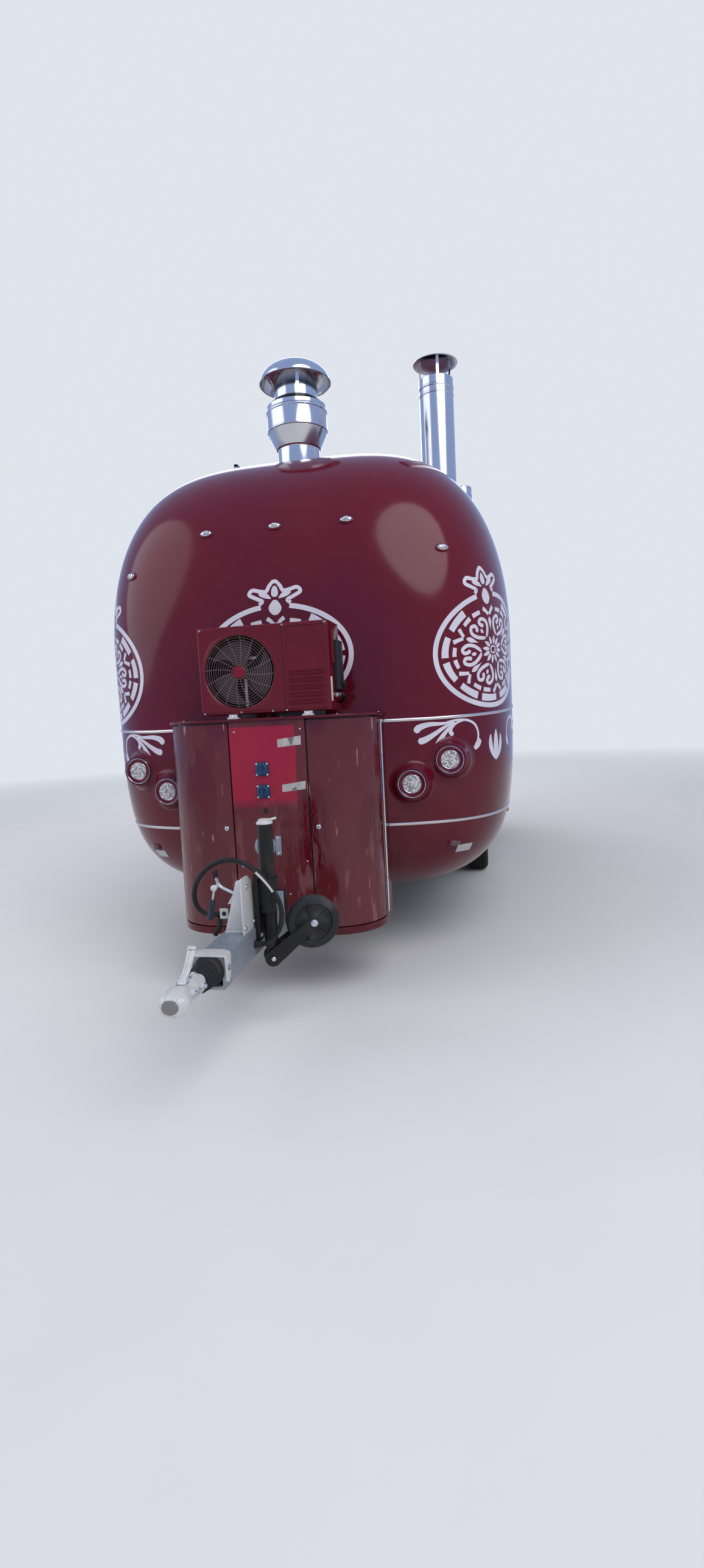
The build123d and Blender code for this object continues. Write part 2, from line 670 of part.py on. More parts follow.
# Roof sign board over the kerb side, standing on two braces
sign_x = -600.0
sign_y0 = station(1300)
sign_y1 = station(3900)
sign_z0 = roof_height(sign_x - 40, 2000) + 40
sign_rise = 250.0
sign = box(sign_x - 12, sign_x + 12, sign_y0, sign_y1, sign_z0, sign_z0 + sign_rise)
for distance in (1500, 2600, 3700):
    y = station(distance)
    foot_in = sign_x + 150
    foot_out = sign_x + 190
    brace = prism_y([(sign_x + 10, sign_z0 + sign_rise - 20), (sign_x + 10, sign_z0 + sign_rise - 50),
                     (foot_in, roof_height(foot_in, 2000) - 20), (foot_out, roof_height(foot_out, 2000) - 20)],
                    y - 15, y + 15)
    sign += brace
    sign += box(sign_x - 12, sign_x + 12, y - 15, y + 15, roof_height(sign_x + 12, 2000) - 60, sign_z0 + 10)
parts["roof_sign"] = one(sign - seat_body)[0]

# Round lamps: a conical pod moulded out of the shell, with the lamp's ring standing out of its face
lamp_radius = 69.0
pod_radius = 80.0
pod_base_radius = 112.0
pod_proud = 46.0
ring_proud = 7.0
front_lamp_places = [(834.0, 1077.0), (646.0, 968.0)]
rear_lamp_places = [(690.0, 1130.0), (690.0, 880.0)]


def lamp(x, z, towards):
    """A pod and its lamp; towards is -1 at the front and 1 at the rear."""
    face = station(face_distance(abs(x), z)) if towards < 0 else station(body_length - face_distance(abs(x), z))
    front = face + towards * pod_proud
    back = face - towards * 110
    pod = Plane(origin=(x, back, z), z_dir=(0, towards, 0)) * Cone(
        pod_base_radius + 30, pod_radius, abs(front - back), align=(Align.CENTER, Align.CENTER, Align.MIN))
    unit = pod + rod((x, front - towards * 5, z), (x, front + towards * ring_proud, z), lamp_radius)
    return one(unit - seat_body)[0]


front_lamps = [lamp(side * x, z, -1) for x, z in front_lamp_places for side in (-1, 1)]
parts["front_lamps"] = Compound(children=front_lamps)

# Small marker lamps: five high on the front, two low, and three on each side
markers = []
for x, z in [(0, 2284), (367, 2281), (-367, 2281), (828, 2117), (-828, 2117), (832, 636), (-832, 636)]:
    depth = face_distance(x, z)
    unit = box(x - 32, x + 32, station(depth) - 18, station(depth) + 60, z - 14, z + 14)
    markers.append(one(unit - seat_body)[0])
side_markers = [(1000.0, 690.0, 22.0), (1700.0, 690.0, 22.0), (3900.0, 1000.0, 0.0)]
for distance, z, proud in side_markers:
    reach = section_size(distance, 0)[0] * half_width_at(z) / body_half_width
    face = reach + proud if proud else body_half_width + side_proud
    for side in (-1, 1):
        x0, x1 = sorted((side * (reach - 50), side * face))
        unit = box(x0, x1, station(distance) - 30, station(distance) + 30, z - 14, z + 14)
        markers.append(one(unit - seat_body)[0])
parts["marker_lamps"] = Compound(children=markers)

# Rear lamps: two round lamps each side, and a number plate holder, left blank
rear_units = [lamp(side * x, z, 1) for x, z in rear_lamp_places for side in (-1, 1)]
plate_x = 640.0
plate_z = 640.0
plate_y = station(body_length - face_distance(plate_x, plate_z))
plate = box(plate_x - 160, plate_x + 160, plate_y - 90, plate_y + 25, plate_z - 60, plate_z + 60)
rear_units.append(one(plate - seat_body)[0])
parts["rear_lamps"] = Compound(children=rear_units)

# Serving hatch: the piece of wall in the opening, smaller by the joint all round
hatch_clip = box(-far_side, hatch_inside, station(hatch_start) + joint_gap, station(hatch_end) - joint_gap,
                 hatch_bottom + joint_gap, hatch_top - joint_gap)
hatch = (outer - inner) & hatch_clip
eye_z = 2100.0
eye_x = -half_width_at(eye_z, wall) + 34
eye_half = 8.0
strut_ys = [station(hatch_start) + 40, station(hatch_end) - 40]
for y, sense in zip(strut_ys, (1, -1)):
    y0, y1 = sorted((y + sense * (eye_half + 1), y + sense * 30))
    hatch += box(eye_x - 50, eye_x + 10, y0, y1, eye_z - 10, eye_z + 10)
hatch_hinge_x = -half_width_at(hatch_top) - 4
hatch_hinge_z = hatch_top - 3
hinge_start = (hatch_hinge_x, station(hatch_start) + 20, hatch_hinge_z)
fixed, moving, room_in_fixed, room_in_moving = hinge(hinge_start, (0, 1, 0), hatch_end - hatch_start - 40, 7, 0.08)
parts["serving_hatch"] = (one(hatch)[0] - room_in_moving) + moving
parts["upper_middle_shell"] = (parts["upper_middle_shell"] - room_in_fixed) + fixed

# Gas struts of the hatch: a cylinder on the jamb's bracket and a rod whose eye stands beside the hatch's lug
foot_x = -1020.0
foot_z = 1550.0
cylinder_radius = 10.0
cylinder_length = 300.0
rod_inside = 150.0
pin_radius = 6.0
cylinders = []
rods = []
pins = None
for y, sense in zip(strut_ys, (1, -1)):
    foot = Vector(foot_x, y, foot_z)
    eye = Vector(eye_x, y, eye_z)
    slope = (eye - foot).normalized()
    across = Vector(0, eye_half, 0)
    cylinder = tube(foot + slope * 11, foot + slope * cylinder_length, cylinder_radius, 4.5)
    cylinder += rod(foot - across, foot + across, 13)
    cylinder -= rod(foot - across * 2, foot + across * 2, pin_radius + bearing_gap)
    cylinders.append(one(cylinder)[0])
    strut_rod = rod(foot + slope * rod_inside, eye - slope * 8, 4.4) + rod(eye - across, eye + across, 11)
    rods.append(one(strut_rod)[0])
    jamb = station(hatch_start) if sense > 0 else station(hatch_end)
    bracket_start, bracket_end = sorted((jamb - sense * 26, jamb))
    pin = rod((foot_x, jamb - sense * 20, foot_z), (foot_x, y + sense * 9, foot_z), pin_radius)
    pin += box(foot_x - 140, foot_x + 16, bracket_start, bracket_end, foot_z - 20, foot_z + 20)
    pins = pin if pins is None else pins + pin
parts["hatch_strut_cylinders"] = Compound(children=cylinders)
parts["hatch_strut_rods"] = Compound(children=rods)
parts["upper_middle_shell"] = parts["upper_middle_shell"] + (pins & body_solid(wall / 2))

# Fold-down counter shelf on the kerb side, with its hinge rail
shelf_out = -(body_half_width + side_proud)
shelf_hinge_z = belt_side_height + strip_width / 2 + 28
shelf_hinge_x = shelf_out + shelf_thickness / 2
shelf_start = station(hatch_start + 60)
shelf_length = hatch_end - hatch_start - 120
shelf = box(shelf_out, shelf_out + shelf_thickness, shelf_start, shelf_start + shelf_length,
            shelf_hinge_z - shelf_depth, shelf_hinge_z - 2)
hinge_start = (shelf_hinge_x, shelf_start, shelf_hinge_z)
fixed, moving, room_in_fixed, room_in_moving = hinge(hinge_start, (0, 1, 0), shelf_length, 8, 0.05)
parts["counter_shelf"] = (shelf - room_in_moving) + moving
bracket_length = shelf_length * 0.05
for y0 in (shelf_start, shelf_start + shelf_length - bracket_length):
    fixed += box(shelf_hinge_x, -body_half_width + 15, y0, y0 + bracket_length, shelf_hinge_z - 2, shelf_hinge_z + 8)
parts["upper_middle_shell"] = parts["upper_middle_shell"] + fixed

# Entry door: a flat panel with a window, in the flat frame
door_y1 = frame_y - 2
door_y0 = door_y1 - door_thickness
door = box(-door_half_width + joint_gap, door_half_width - joint_gap, door_y0, door_y1, door_sill + joint_gap,
           door_head - joint_gap)
window = [-190.0, 190.0, 1500.0, 2100.0]
door -= box(window[0], window[1], door_y0 - 5, door_y1 + 5, window[2], window[3])
door += box(-door_half_width + 40, -door_half_width + 90, door_y1, door_y1 + handle_proud, 1280, 1420)
hinge_start = (door_half_width - joint_gap / 2, frame_y + 5, door_sill + 60)
fixed, moving, room_in_fixed, room_in_moving = hinge(hinge_start, (0, 0, 1), door_head - door_sill - 120, 9, 0.1)
parts["entry_door"] = (door - room_in_moving) + moving
parts["rear_door_frame"] = (parts["rear_door_frame"] - room_in_fixed) + fixed
parts["door_window"] = box(window[0] + touch_gap, window[1] - touch_gap, door_y0 + 14, door_y0 + 20,
                           window[2] + touch_gap, window[3] - touch_gap)

# Kitchen units: serving counter on the kerb side and cooking range on the road side
counter_wall = -half_width_at(700, wall) + 4
counter = box(counter_wall, counter_wall + counter_depth, station(unit_start), station(unit_end), 700, counter_top)
counter -= box(counter_wall + 30, counter_wall + counter_depth + 10, station(unit_start) + 30,
               station(unit_end) - 30, 730, counter_top - 60)
plinth_x = counter_wall + counter_depth - 49
counter += box(plinth_x, plinth_x + plinth_width, station(unit_start) + 30, station(unit_end) - 30, floor_top, 705)
parts["kitchen_counter"] = counter
range_wall = half_width_at(700, wall) - 4
cooker = box(range_wall - range_depth, range_wall, station(unit_start), station(unit_end), 700, range_top)
plinth_x = range_wall - range_depth + 79
cooker += box(plinth_x, plinth_x + plinth_width, station(unit_start) + 30, station(unit_end) - 30, floor_top, 705)
parts["cooking_range"] = cooker

# Brake bracket on the drawbar: a standing trapezoid plate with an upright flange
bracket_y = station(-826)
bracket = prism_y([(-44, drawbar_top), (46, drawbar_top), (46, drawbar_top + 214), (14, drawbar_top + 214)],
                  bracket_y, bracket_y + 5)
bracket += box(46, 52, bracket_y - 45, bracket_y + 110, drawbar_top, drawbar_top + 228)
parts["brake_bracket"] = bracket

# Handbrake: a lever on the bracket with its gas strut
lever_y = bracket_y + 16
lever = rod((14, lever_y, drawbar_top + 150), (-70, lever_y, drawbar_top + 190), 9)
lever += rod((-70, lever_y, drawbar_top + 190), (-79, lever_y, drawbar_top + 252), 9)
lever += rod((-70, lever_y + 6, drawbar_top + 190), (-70, bracket_y - 26, drawbar_top + 190), 11)
lever += rod((-70, bracket_y - 18, drawbar_top + 186), (-98, bracket_y - 18, drawbar_top + 60), 12)
lever += rod((14, bracket_y + 5 + touch_gap, drawbar_top + 150), (14, lever_y + 12, drawbar_top + 150), 12)
parts["handbrake"] = lever

# Jockey clamp on the drawbar's side, outer tube with its crank head
jock_y = station(jockey_distance)
clamp = box(drawbar_width / 2, jockey_x - 20, jock_y - 45, jock_y + 45, drawbar_top - 60, drawbar_top + 225)
clamp += rod((jockey_x, jock_y, drawbar_top + 60), (jockey_x, jock_y, drawbar_top + 200), outer_tube_radius + 12)
clamp += box(jockey_x + 30, jockey_x + 80, jock_y - 8, jock_y + 8, drawbar_top + 60, drawbar_top + 150)
clamp -= rod((jockey_x, jock_y, 0), (jockey_x, jock_y, 1200), outer_tube_radius + 0.05)
parts["jockey_clamp"] = one(clamp)[0]
outer_tube_bottom = 540.0
outer_tube_top = 905.0
outer_tube = tube((jockey_x, jock_y, outer_tube_bottom), (jockey_x, jock_y, outer_tube_top), outer_tube_radius,
                  inner_tube_radius + 0.4)
outer_tube += rod((jockey_x, jock_y, outer_tube_top - 6), (jockey_x, jock_y, outer_tube_top + 14), 26)
outer_tube += rod((jockey_x, jock_y, outer_tube_top - 6), (jockey_x, jock_y, outer_tube_top - 2), outer_tube_radius)
outer_tube += rod((jockey_x, jock_y, outer_tube_top + 7), (jockey_x + 40, jock_y + 40, outer_tube_top + 7), 6)
parts["jockey_outer_tube"] = outer_tube

# Inner tube with two ears, folding fork and wheel
swing = math.radians(jockey_swivel)
fold = math.radians(jockey_fold_up)
along = Vector(math.cos(swing), math.sin(swing), 0)
pin_dir = Vector(-math.sin(swing), math.cos(swing), 0)
pivot = Vector(jockey_x, jock_y, jockey_pivot_height)
arm_dir = along * math.cos(fold) + Vector(0, 0, 1) * math.sin(fold)
hub = pivot + arm_dir * jockey_arm
inner_tube = tube((jockey_x, jock_y, jockey_pivot_height + 52), (jockey_x, jock_y, outer_tube_top - 12),
                  inner_tube_radius, inner_tube_radius - 3)
inner_tube += rod((jockey_x, jock_y, jockey_pivot_height + 46), (jockey_x, jock_y, jockey_pivot_height + 56),
                  inner_tube_radius)
ear_offset = 26.0


def plate_along(start, end, offset, thickness, half, round_radius):
    """Flat plate between two points, square to the pin direction, with round ends."""
    a = start + pin_dir * (offset - thickness / 2)
    b = end + pin_dir * (offset - thickness / 2)
    shape = rod(a, a + pin_dir * thickness, round_radius) + rod(b, b + pin_dir * thickness, half)
    length = (end - start).length
    direction = (end - start).normalized()
    plane = Plane(origin=a + direction * (length / 2) + pin_dir * (thickness / 2), x_dir=direction, z_dir=pin_dir)
    return shape + plane * Box(length, 2 * half, thickness)


for offset in (-ear_offset + 8, ear_offset - 8):
    inner_tube += plate_along(pivot, pivot + Vector(0, 0, 50), offset, 6, 18, 24)
inner_tube += rod(pivot - pin_dir * 37, pivot + pin_dir * 37, 7)
parts["jockey_inner_tube"] = inner_tube

fork_offset = jockey_wheel_width / 2 + 7
fork = None
for offset in (-fork_offset, fork_offset):
    cheek = plate_along(pivot, hub, offset, 5, 24, 34)
    fork = cheek if fork is None else fork + cheek
web_centre = pivot + arm_dir * 70
web = Plane(origin=web_centre, x_dir=arm_dir, z_dir=pin_dir) * Box(30, 46, 2 * fork_offset)
fork = fork + web
fork -= rod(pivot - pin_dir * 60, pivot + pin_dir * 60, 7.05)
fork += rod(hub - pin_dir * (fork_offset + 8), hub + pin_dir * (fork_offset + 8), 8)
parts["jockey_fork"] = fork
wheel = rod(hub - pin_dir * jockey_wheel_width / 2, hub + pin_dir * jockey_wheel_width / 2, jockey_wheel_radius)
wheel = fillet(wheel.edges().filter_by(GeomType.CIRCLE), 12)
wheel -= rod(hub - pin_dir * 60, hub + pin_dir * 60, 8.05)
parts["jockey_wheel"] = wheel

# Steady legs, standing on the floor
for word, side in (("kerb", -1), ("road", 1)):
    x = side * leg_x
    y = station(leg_distance)
    leg = box(x - leg_size / 2, x + leg_size / 2, y - leg_size / 2, y + leg_size / 2, 8, leg_pivot_height)
    leg += rod((x - leg_size / 2, y, leg_pivot_height), (x + leg_size / 2, y, leg_pivot_height), leg_size / 2)
    leg += box(x - foot_half, x + foot_half, y - foot_half, y + foot_half, 0, 8)
    leg -= rod((x - 40, y, leg_pivot_height), (x + 40, y, leg_pivot_height), 10.05)
    parts[f"rear_{word}_leg"] = leg

# Cables and hose: straight runs joined by arcs as large as the runs allow


def cable(points, radius):
    """Tube of straight runs and tangent arcs through a list of points."""
    vectors = [Vector(*p) for p in points]
    radii = []
    for a, b, c in zip(vectors, vectors[1:], vectors[2:]):
        before = b - a
        after = c - b
        turn = math.radians(before.get_angle(after))
        radii.append(0.45 * min(before.length, after.length) / math.tan(turn / 2))
    path = FilletPolyline(*vectors, radius=radii)
    start = vectors[0]
    section = Plane(origin=start, z_dir=vectors[1] - start) * Circle(radius)
    solid = sweep(section, path=path)
    print("cable radii", [round(r) for r in radii], "length", round(path.length), "volume ratio",
          round(solid.volume / (math.pi * radius ** 2 * path.length), 4))
    return solid


def beside_drawbar(points):
    """Points given as X, distance behind the nose, height, with their true Y."""
    return [(x, station(distance), z) for x, distance, z in points]


# Coupling cable: from its parked plug out to the kerb side, over the drawbar in a loop and down behind the jockey
cable_radius = 10.0
coupling_cable_points = beside_drawbar([
    (-74, -728, 530), (-122, -752, 522), (-168, -782, 548), (-186, -795, 606), (-168, -800, 676), (-122, -800, 732),
    (-60, -800, 764), (8, -800, 768), (70, -798, 740), (122, -796, 690), (164, -794, 632), (188, -792, 570),
    (184, -790, 508), (162, -786, 458), (128, -780, 424), (92, -776, 410), (60.3, -776, 410)])
parts["coupling_cable"] = cable(coupling_cable_points, cable_radius)
plug_start = Vector(*coupling_cable_points[0])
plug_end = plug_start + (plug_start - Vector(*coupling_cable_points[1])).normalized() * 60
parts["cable_plug"] = rod(plug_start, plug_end, 17)

# Ribbed hose that hangs from the cable beside the drawbar
hose_points = beside_drawbar([(-98, -740, 513.6), (-100, -738, 484), (-112, -730, 456), (-132, -722, 434)])
parts["corrugated_hose"] = cable(hose_points, 12.0)

os.makedirs("parts", exist_ok=True)
for name, shape in parts.items():
    solids = one(shape)
    kept = solids[0] if len(solids) == 1 else Compound(children=solids)
    export_step(kept, f"parts/{name}.step")
print(len(parts), "nodes")
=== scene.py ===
from math import acos, asin, atan2, cos, log, pi, radians, sin

import bmesh
import bpy
import numpy as np
from mathutils import Matrix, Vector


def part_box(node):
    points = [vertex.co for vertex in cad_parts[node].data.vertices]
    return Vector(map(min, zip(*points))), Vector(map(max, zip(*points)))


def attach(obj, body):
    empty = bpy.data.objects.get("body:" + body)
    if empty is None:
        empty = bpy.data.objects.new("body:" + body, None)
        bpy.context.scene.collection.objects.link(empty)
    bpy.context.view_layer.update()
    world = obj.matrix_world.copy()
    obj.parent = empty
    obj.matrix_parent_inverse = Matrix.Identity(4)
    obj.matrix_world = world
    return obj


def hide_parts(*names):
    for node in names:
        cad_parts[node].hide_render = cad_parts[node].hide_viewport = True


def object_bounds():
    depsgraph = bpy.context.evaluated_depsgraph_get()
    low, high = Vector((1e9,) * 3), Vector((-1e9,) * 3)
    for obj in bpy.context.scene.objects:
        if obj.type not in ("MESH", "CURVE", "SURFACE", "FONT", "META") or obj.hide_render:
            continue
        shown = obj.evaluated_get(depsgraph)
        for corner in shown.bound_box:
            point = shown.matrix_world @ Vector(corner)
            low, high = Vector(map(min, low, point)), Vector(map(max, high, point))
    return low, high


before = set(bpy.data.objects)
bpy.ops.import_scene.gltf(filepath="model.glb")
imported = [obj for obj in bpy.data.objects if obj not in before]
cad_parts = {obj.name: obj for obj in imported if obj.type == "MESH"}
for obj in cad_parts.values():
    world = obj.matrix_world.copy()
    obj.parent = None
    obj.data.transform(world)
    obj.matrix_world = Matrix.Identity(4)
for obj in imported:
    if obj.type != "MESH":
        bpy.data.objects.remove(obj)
cad_low, cad_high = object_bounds()

# Places are given in millimetres as (across, distance behind the body's nose, height).
NOSE = cad_low.y * 1000 + 1450
LENGTH = 5200.0
HALF_WIDTH = 1170.0
CAP = 1240.0
WIDEST = 1700.0
RISE = 1110.0
DROP = 1400.0
SIDE_POWER = 3.75
NOSE_POWER = 3.85
ROOF_POWER = 2.2
BELLY_POWER = 5.74
WALL = 40.0
LOCKER_FRONT = -345.0
AXLES = (2400.0, 3120.0)
AXLE_HEIGHT = 295
HALF_TRACK = 908
ARCH = 345


# Camera: at the photograph's viewing angle

def place_camera():
    """Right, up and backward axes of the fitted view, turned into a camera."""
    right = (0.9811, 0.1869, -0.0506)
    ahead = (-0.1912, 0.9764, -0.1000)
    up = (0.0307, 0.1078, 0.9937)
    camera = bpy.data.objects.new("camera", bpy.data.cameras.new("camera"))
    bpy.context.scene.collection.objects.link(camera)
    camera.data.sensor_fit = "VERTICAL"
    camera.data.sensor_height = 36.0
    camera.data.lens = 36.0 * 1157.0 / 2576.0
    camera.data.clip_start = 0.05
    camera.data.clip_end = 200.0
    turn = Matrix((right, up, tuple(-v for v in ahead))).transposed().to_4x4()
    turn.translation = (1.020, NOSE / 1000 - 3.445, 1.330)
    camera.matrix_world = turn
    bpy.context.scene.camera = camera


place_camera()


# Shader maths

def maths(operation, swapped=False):
    """A Sock's operator, which adds a Math node."""
    def work(sock, other):
        ends = (other, sock) if swapped else (sock, other)
        return sock.finish.node("ShaderNodeMath", dict(enumerate(ends)), operation=operation)["Value"]
    return work


class Sock:
    """A socket of a finish's nodes. Sums and products of it add Math nodes."""
    __add__ = maths("ADD")
    __radd__ = maths("ADD", True)
    __sub__ = maths("SUBTRACT")
    __rsub__ = maths("SUBTRACT", True)
    __mul__ = maths("MULTIPLY")
    __rmul__ = maths("MULTIPLY", True)
    __pow__ = maths("POWER")

    def __init__(self, finish, socket):
        self.finish = finish
        self.socket = socket


class Made:
    """A node with its outputs as Socks, by name or number."""

    def __init__(self, finish, node):
        self.finish = finish
        self.node = node

    def __getitem__(self, name):
        return Sock(self.finish, self.node.outputs[name])


class Finish:
    """A procedural material in the making."""

    def __init__(self, name):
        self.material = bpy.data.materials.new(name)
        self.material.use_nodes = True
        self.tree = self.material.node_tree
        self.tree.nodes.clear()
        self.place = self.node("ShaderNodeTexCoord")["Object"]

    def node(self, kind, values=None, **settings):
        """A node of a type, with its settings first and then its sockets' values or links."""
        made = self.tree.nodes.new(kind)
        for name, value in settings.items():
            setattr(made, name, value)
        for name, value in (values or {}).items():
            if isinstance(value, Sock):
                self.tree.links.new(value.socket, made.inputs[name])
            else:
                made.inputs[name].default_value = value
        return Made(self, made)

    def stretched(self, scale, turn=(0, 0, 0)):
        """Object coordinates scaled and turned."""
        return self.node("ShaderNodeMapping", {"Vector": self.place, "Scale": scale,
            "Rotation": turn})["Vector"]

    def noise(self, scale, detail=3.0, vector=None, rough=0.5):
        """Noise from 0 to 1."""
        return self.node("ShaderNodeTexNoise", {"Vector": vector or self.place, "Scale": scale,
            "Detail": detail, "Roughness": rough})["Fac"]

    def cells(self, scale, vector=None):
        """Distance to the nearest of scattered points."""
        return self.node("ShaderNodeTexVoronoi", {"Vector": vector or self.place, "Scale": scale},
            feature="F1")["Distance"]

    def between(self, value, low, high, start=0.0, end=1.0):
        """Value carried from one range to another, held at both ends."""
        return self.node("ShaderNodeMapRange", {"Value": value, "From Min": low, "From Max": high,
            "To Min": start, "To Max": end}, clamp=True)["Result"]

    def mix(self, factor, first, second):
        """Colour between two colours."""
        ends = [colour if isinstance(colour, Sock) else (*colour, 1.0) for colour in (first, second)]
        return self.node("ShaderNodeMix", {0: factor, 6: ends[0], 7: ends[1]}, data_type="RGBA")[2]

    def bump(self, height, distance, strength=1.0):
        """Normal of a surface that stands out by a height."""
        return self.node("ShaderNodeBump", {"Height": height, "Distance": distance,
            "Strength": strength})["Normal"]

    def split(self):
        """The three object coordinates, in metres."""
        parts = self.node("ShaderNodeSeparateXYZ", {"Vector": self.place})
        return parts["X"], parts["Y"], parts["Z"]

    def surface(self, **sockets):
        """The shader and the output; sockets are named with underscores."""
        values = {}
        for name, value in sockets.items():
            colour = isinstance(value, tuple) and len(value) == 3
            values[name.replace("_", " ")] = (*value, 1.0) if colour else value
        shader = self.node("ShaderNodeBsdfPrincipled", values)
        self.node("ShaderNodeOutputMaterial", {"Surface": shader["BSDF"]})
        return self.material


# Finishes

def paint(name, colour, deep, rough=0.10, peel=0.00012, dust=0.25):
    """Glossy moulded paint: slow colour drift, orange peel, fine dust low down and faint wipe marks."""
    f = Finish(name)
    drift = f.noise(0.9, 2.0)
    _, _, z = f.split()
    low = f.between(z, 0.3, 1.1, 1.0, 0.15)
    dusty = f.between(f.noise(9.0, 6.0), 0.50, 0.80) * low * dust
    shade = f.mix(f.between(drift, 0.35, 0.65), colour, deep)
    shade = f.mix(dusty * 0.45, shade, (0.30, 0.20, 0.18))
    wipes = f.noise(14.0, 3.0, f.stretched((0.4, 0.4, 2.0)))
    gloss = rough + wipes * 0.03 + dusty * 0.35
    return f.surface(Base_Color=shade, Roughness=gloss, Specular_IOR_Level=0.25, Coat_Weight=0.10,
        Coat_Roughness=0.03, Normal=f.bump(f.noise(260.0, 2.0), peel))


def polished(name, colour, rough, brush=(1.0, 1.0, 30.0), depth=0.00004):
    """Sheet metal: fine brushing, hazy handling marks."""
    f = Finish(name)
    lines = f.noise(60.0, 4.0, f.stretched(brush))
    haze = f.between(f.noise(4.0, 5.0), 0.42, 0.70)
    shade = f.mix(haze * 0.5, colour, tuple(c * 0.78 for c in colour))
    return f.surface(Base_Color=shade, Metallic=1.0, Roughness=rough + haze * 0.12 + lines * 0.05,
        Normal=f.bump(lines, depth))


def zinc(name, colour, rough=0.42, spangle=70.0, stain=0.5, metal=0.4):
    """Hot-dip zinc: spangled grey with darker weathering."""
    f = Finish(name)
    flakes = f.cells(spangle)
    weather = f.between(f.noise(14.0, 6.0), 0.45, 0.75)
    shade = f.mix(f.between(flakes, 0.0, 0.8), colour, tuple(c * 0.80 for c in colour))
    shade = f.mix(weather * stain, shade, (0.20, 0.19, 0.17))
    return f.surface(Base_Color=shade, Metallic=metal, Roughness=rough + weather * 0.22,
        Normal=f.bump(f.noise(120.0, 4.0), 0.00025))


def rubber(name, colour, rough=0.7, grain=220.0, dust=(0.20, 0.17, 0.14), share=0.35):
    """Rubber or sheath: fine grain and pale dust in patches."""
    f = Finish(name)
    dusty = f.between(f.noise(12.0, 6.0), 0.48, 0.80)
    shade = f.mix(dusty * share, colour, dust)
    return f.surface(Base_Color=shade, Roughness=rough + dusty * 0.15, Specular_IOR_Level=0.25,
        Normal=f.bump(f.noise(grain, 3.0), 0.0003))


def plastic(name, colour, rough=0.35, grain=0.0001, worn=0.15):
    """Moulded plastic: faint mottling and handling marks."""
    f = Finish(name)
    mottle = f.noise(25.0, 4.0)
    shade = f.mix(f.between(mottle, 0.4, 0.7) * worn * 2, colour, tuple(c * 0.6 + 0.02 for c in colour))
    return f.surface(Base_Color=shade, Roughness=rough + f.between(f.noise(60.0, 3.0), 0.4, 0.8) * 0.15,
        Specular_IOR_Level=0.3, Normal=f.bump(f.noise(400.0, 2.0), grain))


def clear(name, tint, cells=160.0, rough=0.06):
    """Lens over a bright reflector: a cell pattern seen through gloss."""
    f = Finish(name)
    pattern = f.cells(cells)
    shade = f.mix(f.between(pattern, 0.25, 0.7), tint, tuple(c * 0.35 for c in tint))
    return f.surface(Base_Color=shade, Roughness=rough + f.noise(40.0) * 0.06, Specular_IOR_Level=0.3,
        Coat_Weight=0.3, Normal=f.bump(pattern, 0.0012))


def vinyl_film(name, colour):
    """Cut film: pale lilac grey with soft mottling."""
    f = Finish(name)
    shade = f.mix(f.between(f.noise(6.0, 4.0), 0.4, 0.65), colour, tuple(c * 0.90 for c in colour))
    return f.surface(Base_Color=shade, Roughness=0.28 + f.noise(18.0) * 0.12,
        Normal=f.bump(f.noise(150.0), 0.0001))


MAROON = (0.122, 0.0054, 0.0135)
maroon = paint("maroon gel coat", MAROON, (0.094, 0.0042, 0.0155))
locker_maroon = paint("locker gel coat", (0.098, 0.0045, 0.0110), (0.070, 0.0035, 0.0090),
    0.12, 0.0002, 0.45)
bright_red = paint("centre panel red", (0.270, 0.0040, 0.018), (0.190, 0.0036, 0.016), 0.12, 0.0001, 0.35)
casing_red = paint("conditioner red", (0.150, 0.0050, 0.0150), (0.110, 0.0042, 0.012), 0.20, 0.00015, 0.35)
lining = plastic("pale inner lining", (0.62, 0.60, 0.57), 0.45)
vinyl = vinyl_film("pale film", (0.66, 0.63, 0.72))
strip_metal = polished("belt strip metal", (0.66, 0.60, 0.58), 0.26, (1.0, 1.0, 1.0))
stainless = polished("mirror stainless", (0.60, 0.60, 0.62), 0.11)
hinge_metal = polished("hinge stainless", (0.66, 0.66, 0.66), 0.22)
kitchen_metal = polished("kitchen stainless", (0.62, 0.62, 0.62), 0.26, (1.0, 20.0, 1.0))
galvanised = zinc("galvanised steel", (0.33, 0.37, 0.41), 0.48, 70.0, 0.35, 0.5)
cast_zinc = zinc("coupling zinc", (0.74, 0.74, 0.73), 0.46, 220.0, 0.25, 0.2)
white_zinc = zinc("bright zinc", (0.72, 0.71, 0.70), 0.44, 240.0, 0.15, 0.25)
black_rubber = rubber("black rubber", (0.016, 0.016, 0.017))
tyre_black = rubber("tyre rubber", (0.020, 0.019, 0.018), 0.82, 160.0, (0.17, 0.14, 0.11), 0.45)
cable_black = rubber("cable sheath", (0.014, 0.014, 0.015), 0.45, 260.0, (0.12, 0.11, 0.10), 0.2)
dark_plastic = plastic("dark plastic", (0.020, 0.020, 0.022), 0.40)
fan_dark = plastic("fan plastic", (0.040, 0.028, 0.031), 0.45)
duct_dark = plastic("duct black", (0.012, 0.010, 0.010), 0.70)
liner_black = plastic("arch liner", (0.018, 0.018, 0.018), 0.65)
cap_blue = plastic("socket blue", (0.014, 0.050, 0.120), 0.30)
white_plastic = plastic("white plastic", (0.66, 0.66, 0.66), 0.35)
tape_grey = plastic("tape", (0.46, 0.43, 0.42), 0.50, 0.0004, 0.5)
# The tape's grey wedge is a painted shadow.
tape_shadow = plastic("tape shadow", (0.17, 0.15, 0.16), 0.50, 0.0004, 0.5)
tube_dark = rubber("jockey tube paint", (0.013, 0.012, 0.012), 0.36, 90.0, (0.10, 0.08, 0.07), 0.22)
rubber_grey = rubber("grey rubber", (0.20, 0.19, 0.19), 0.55)
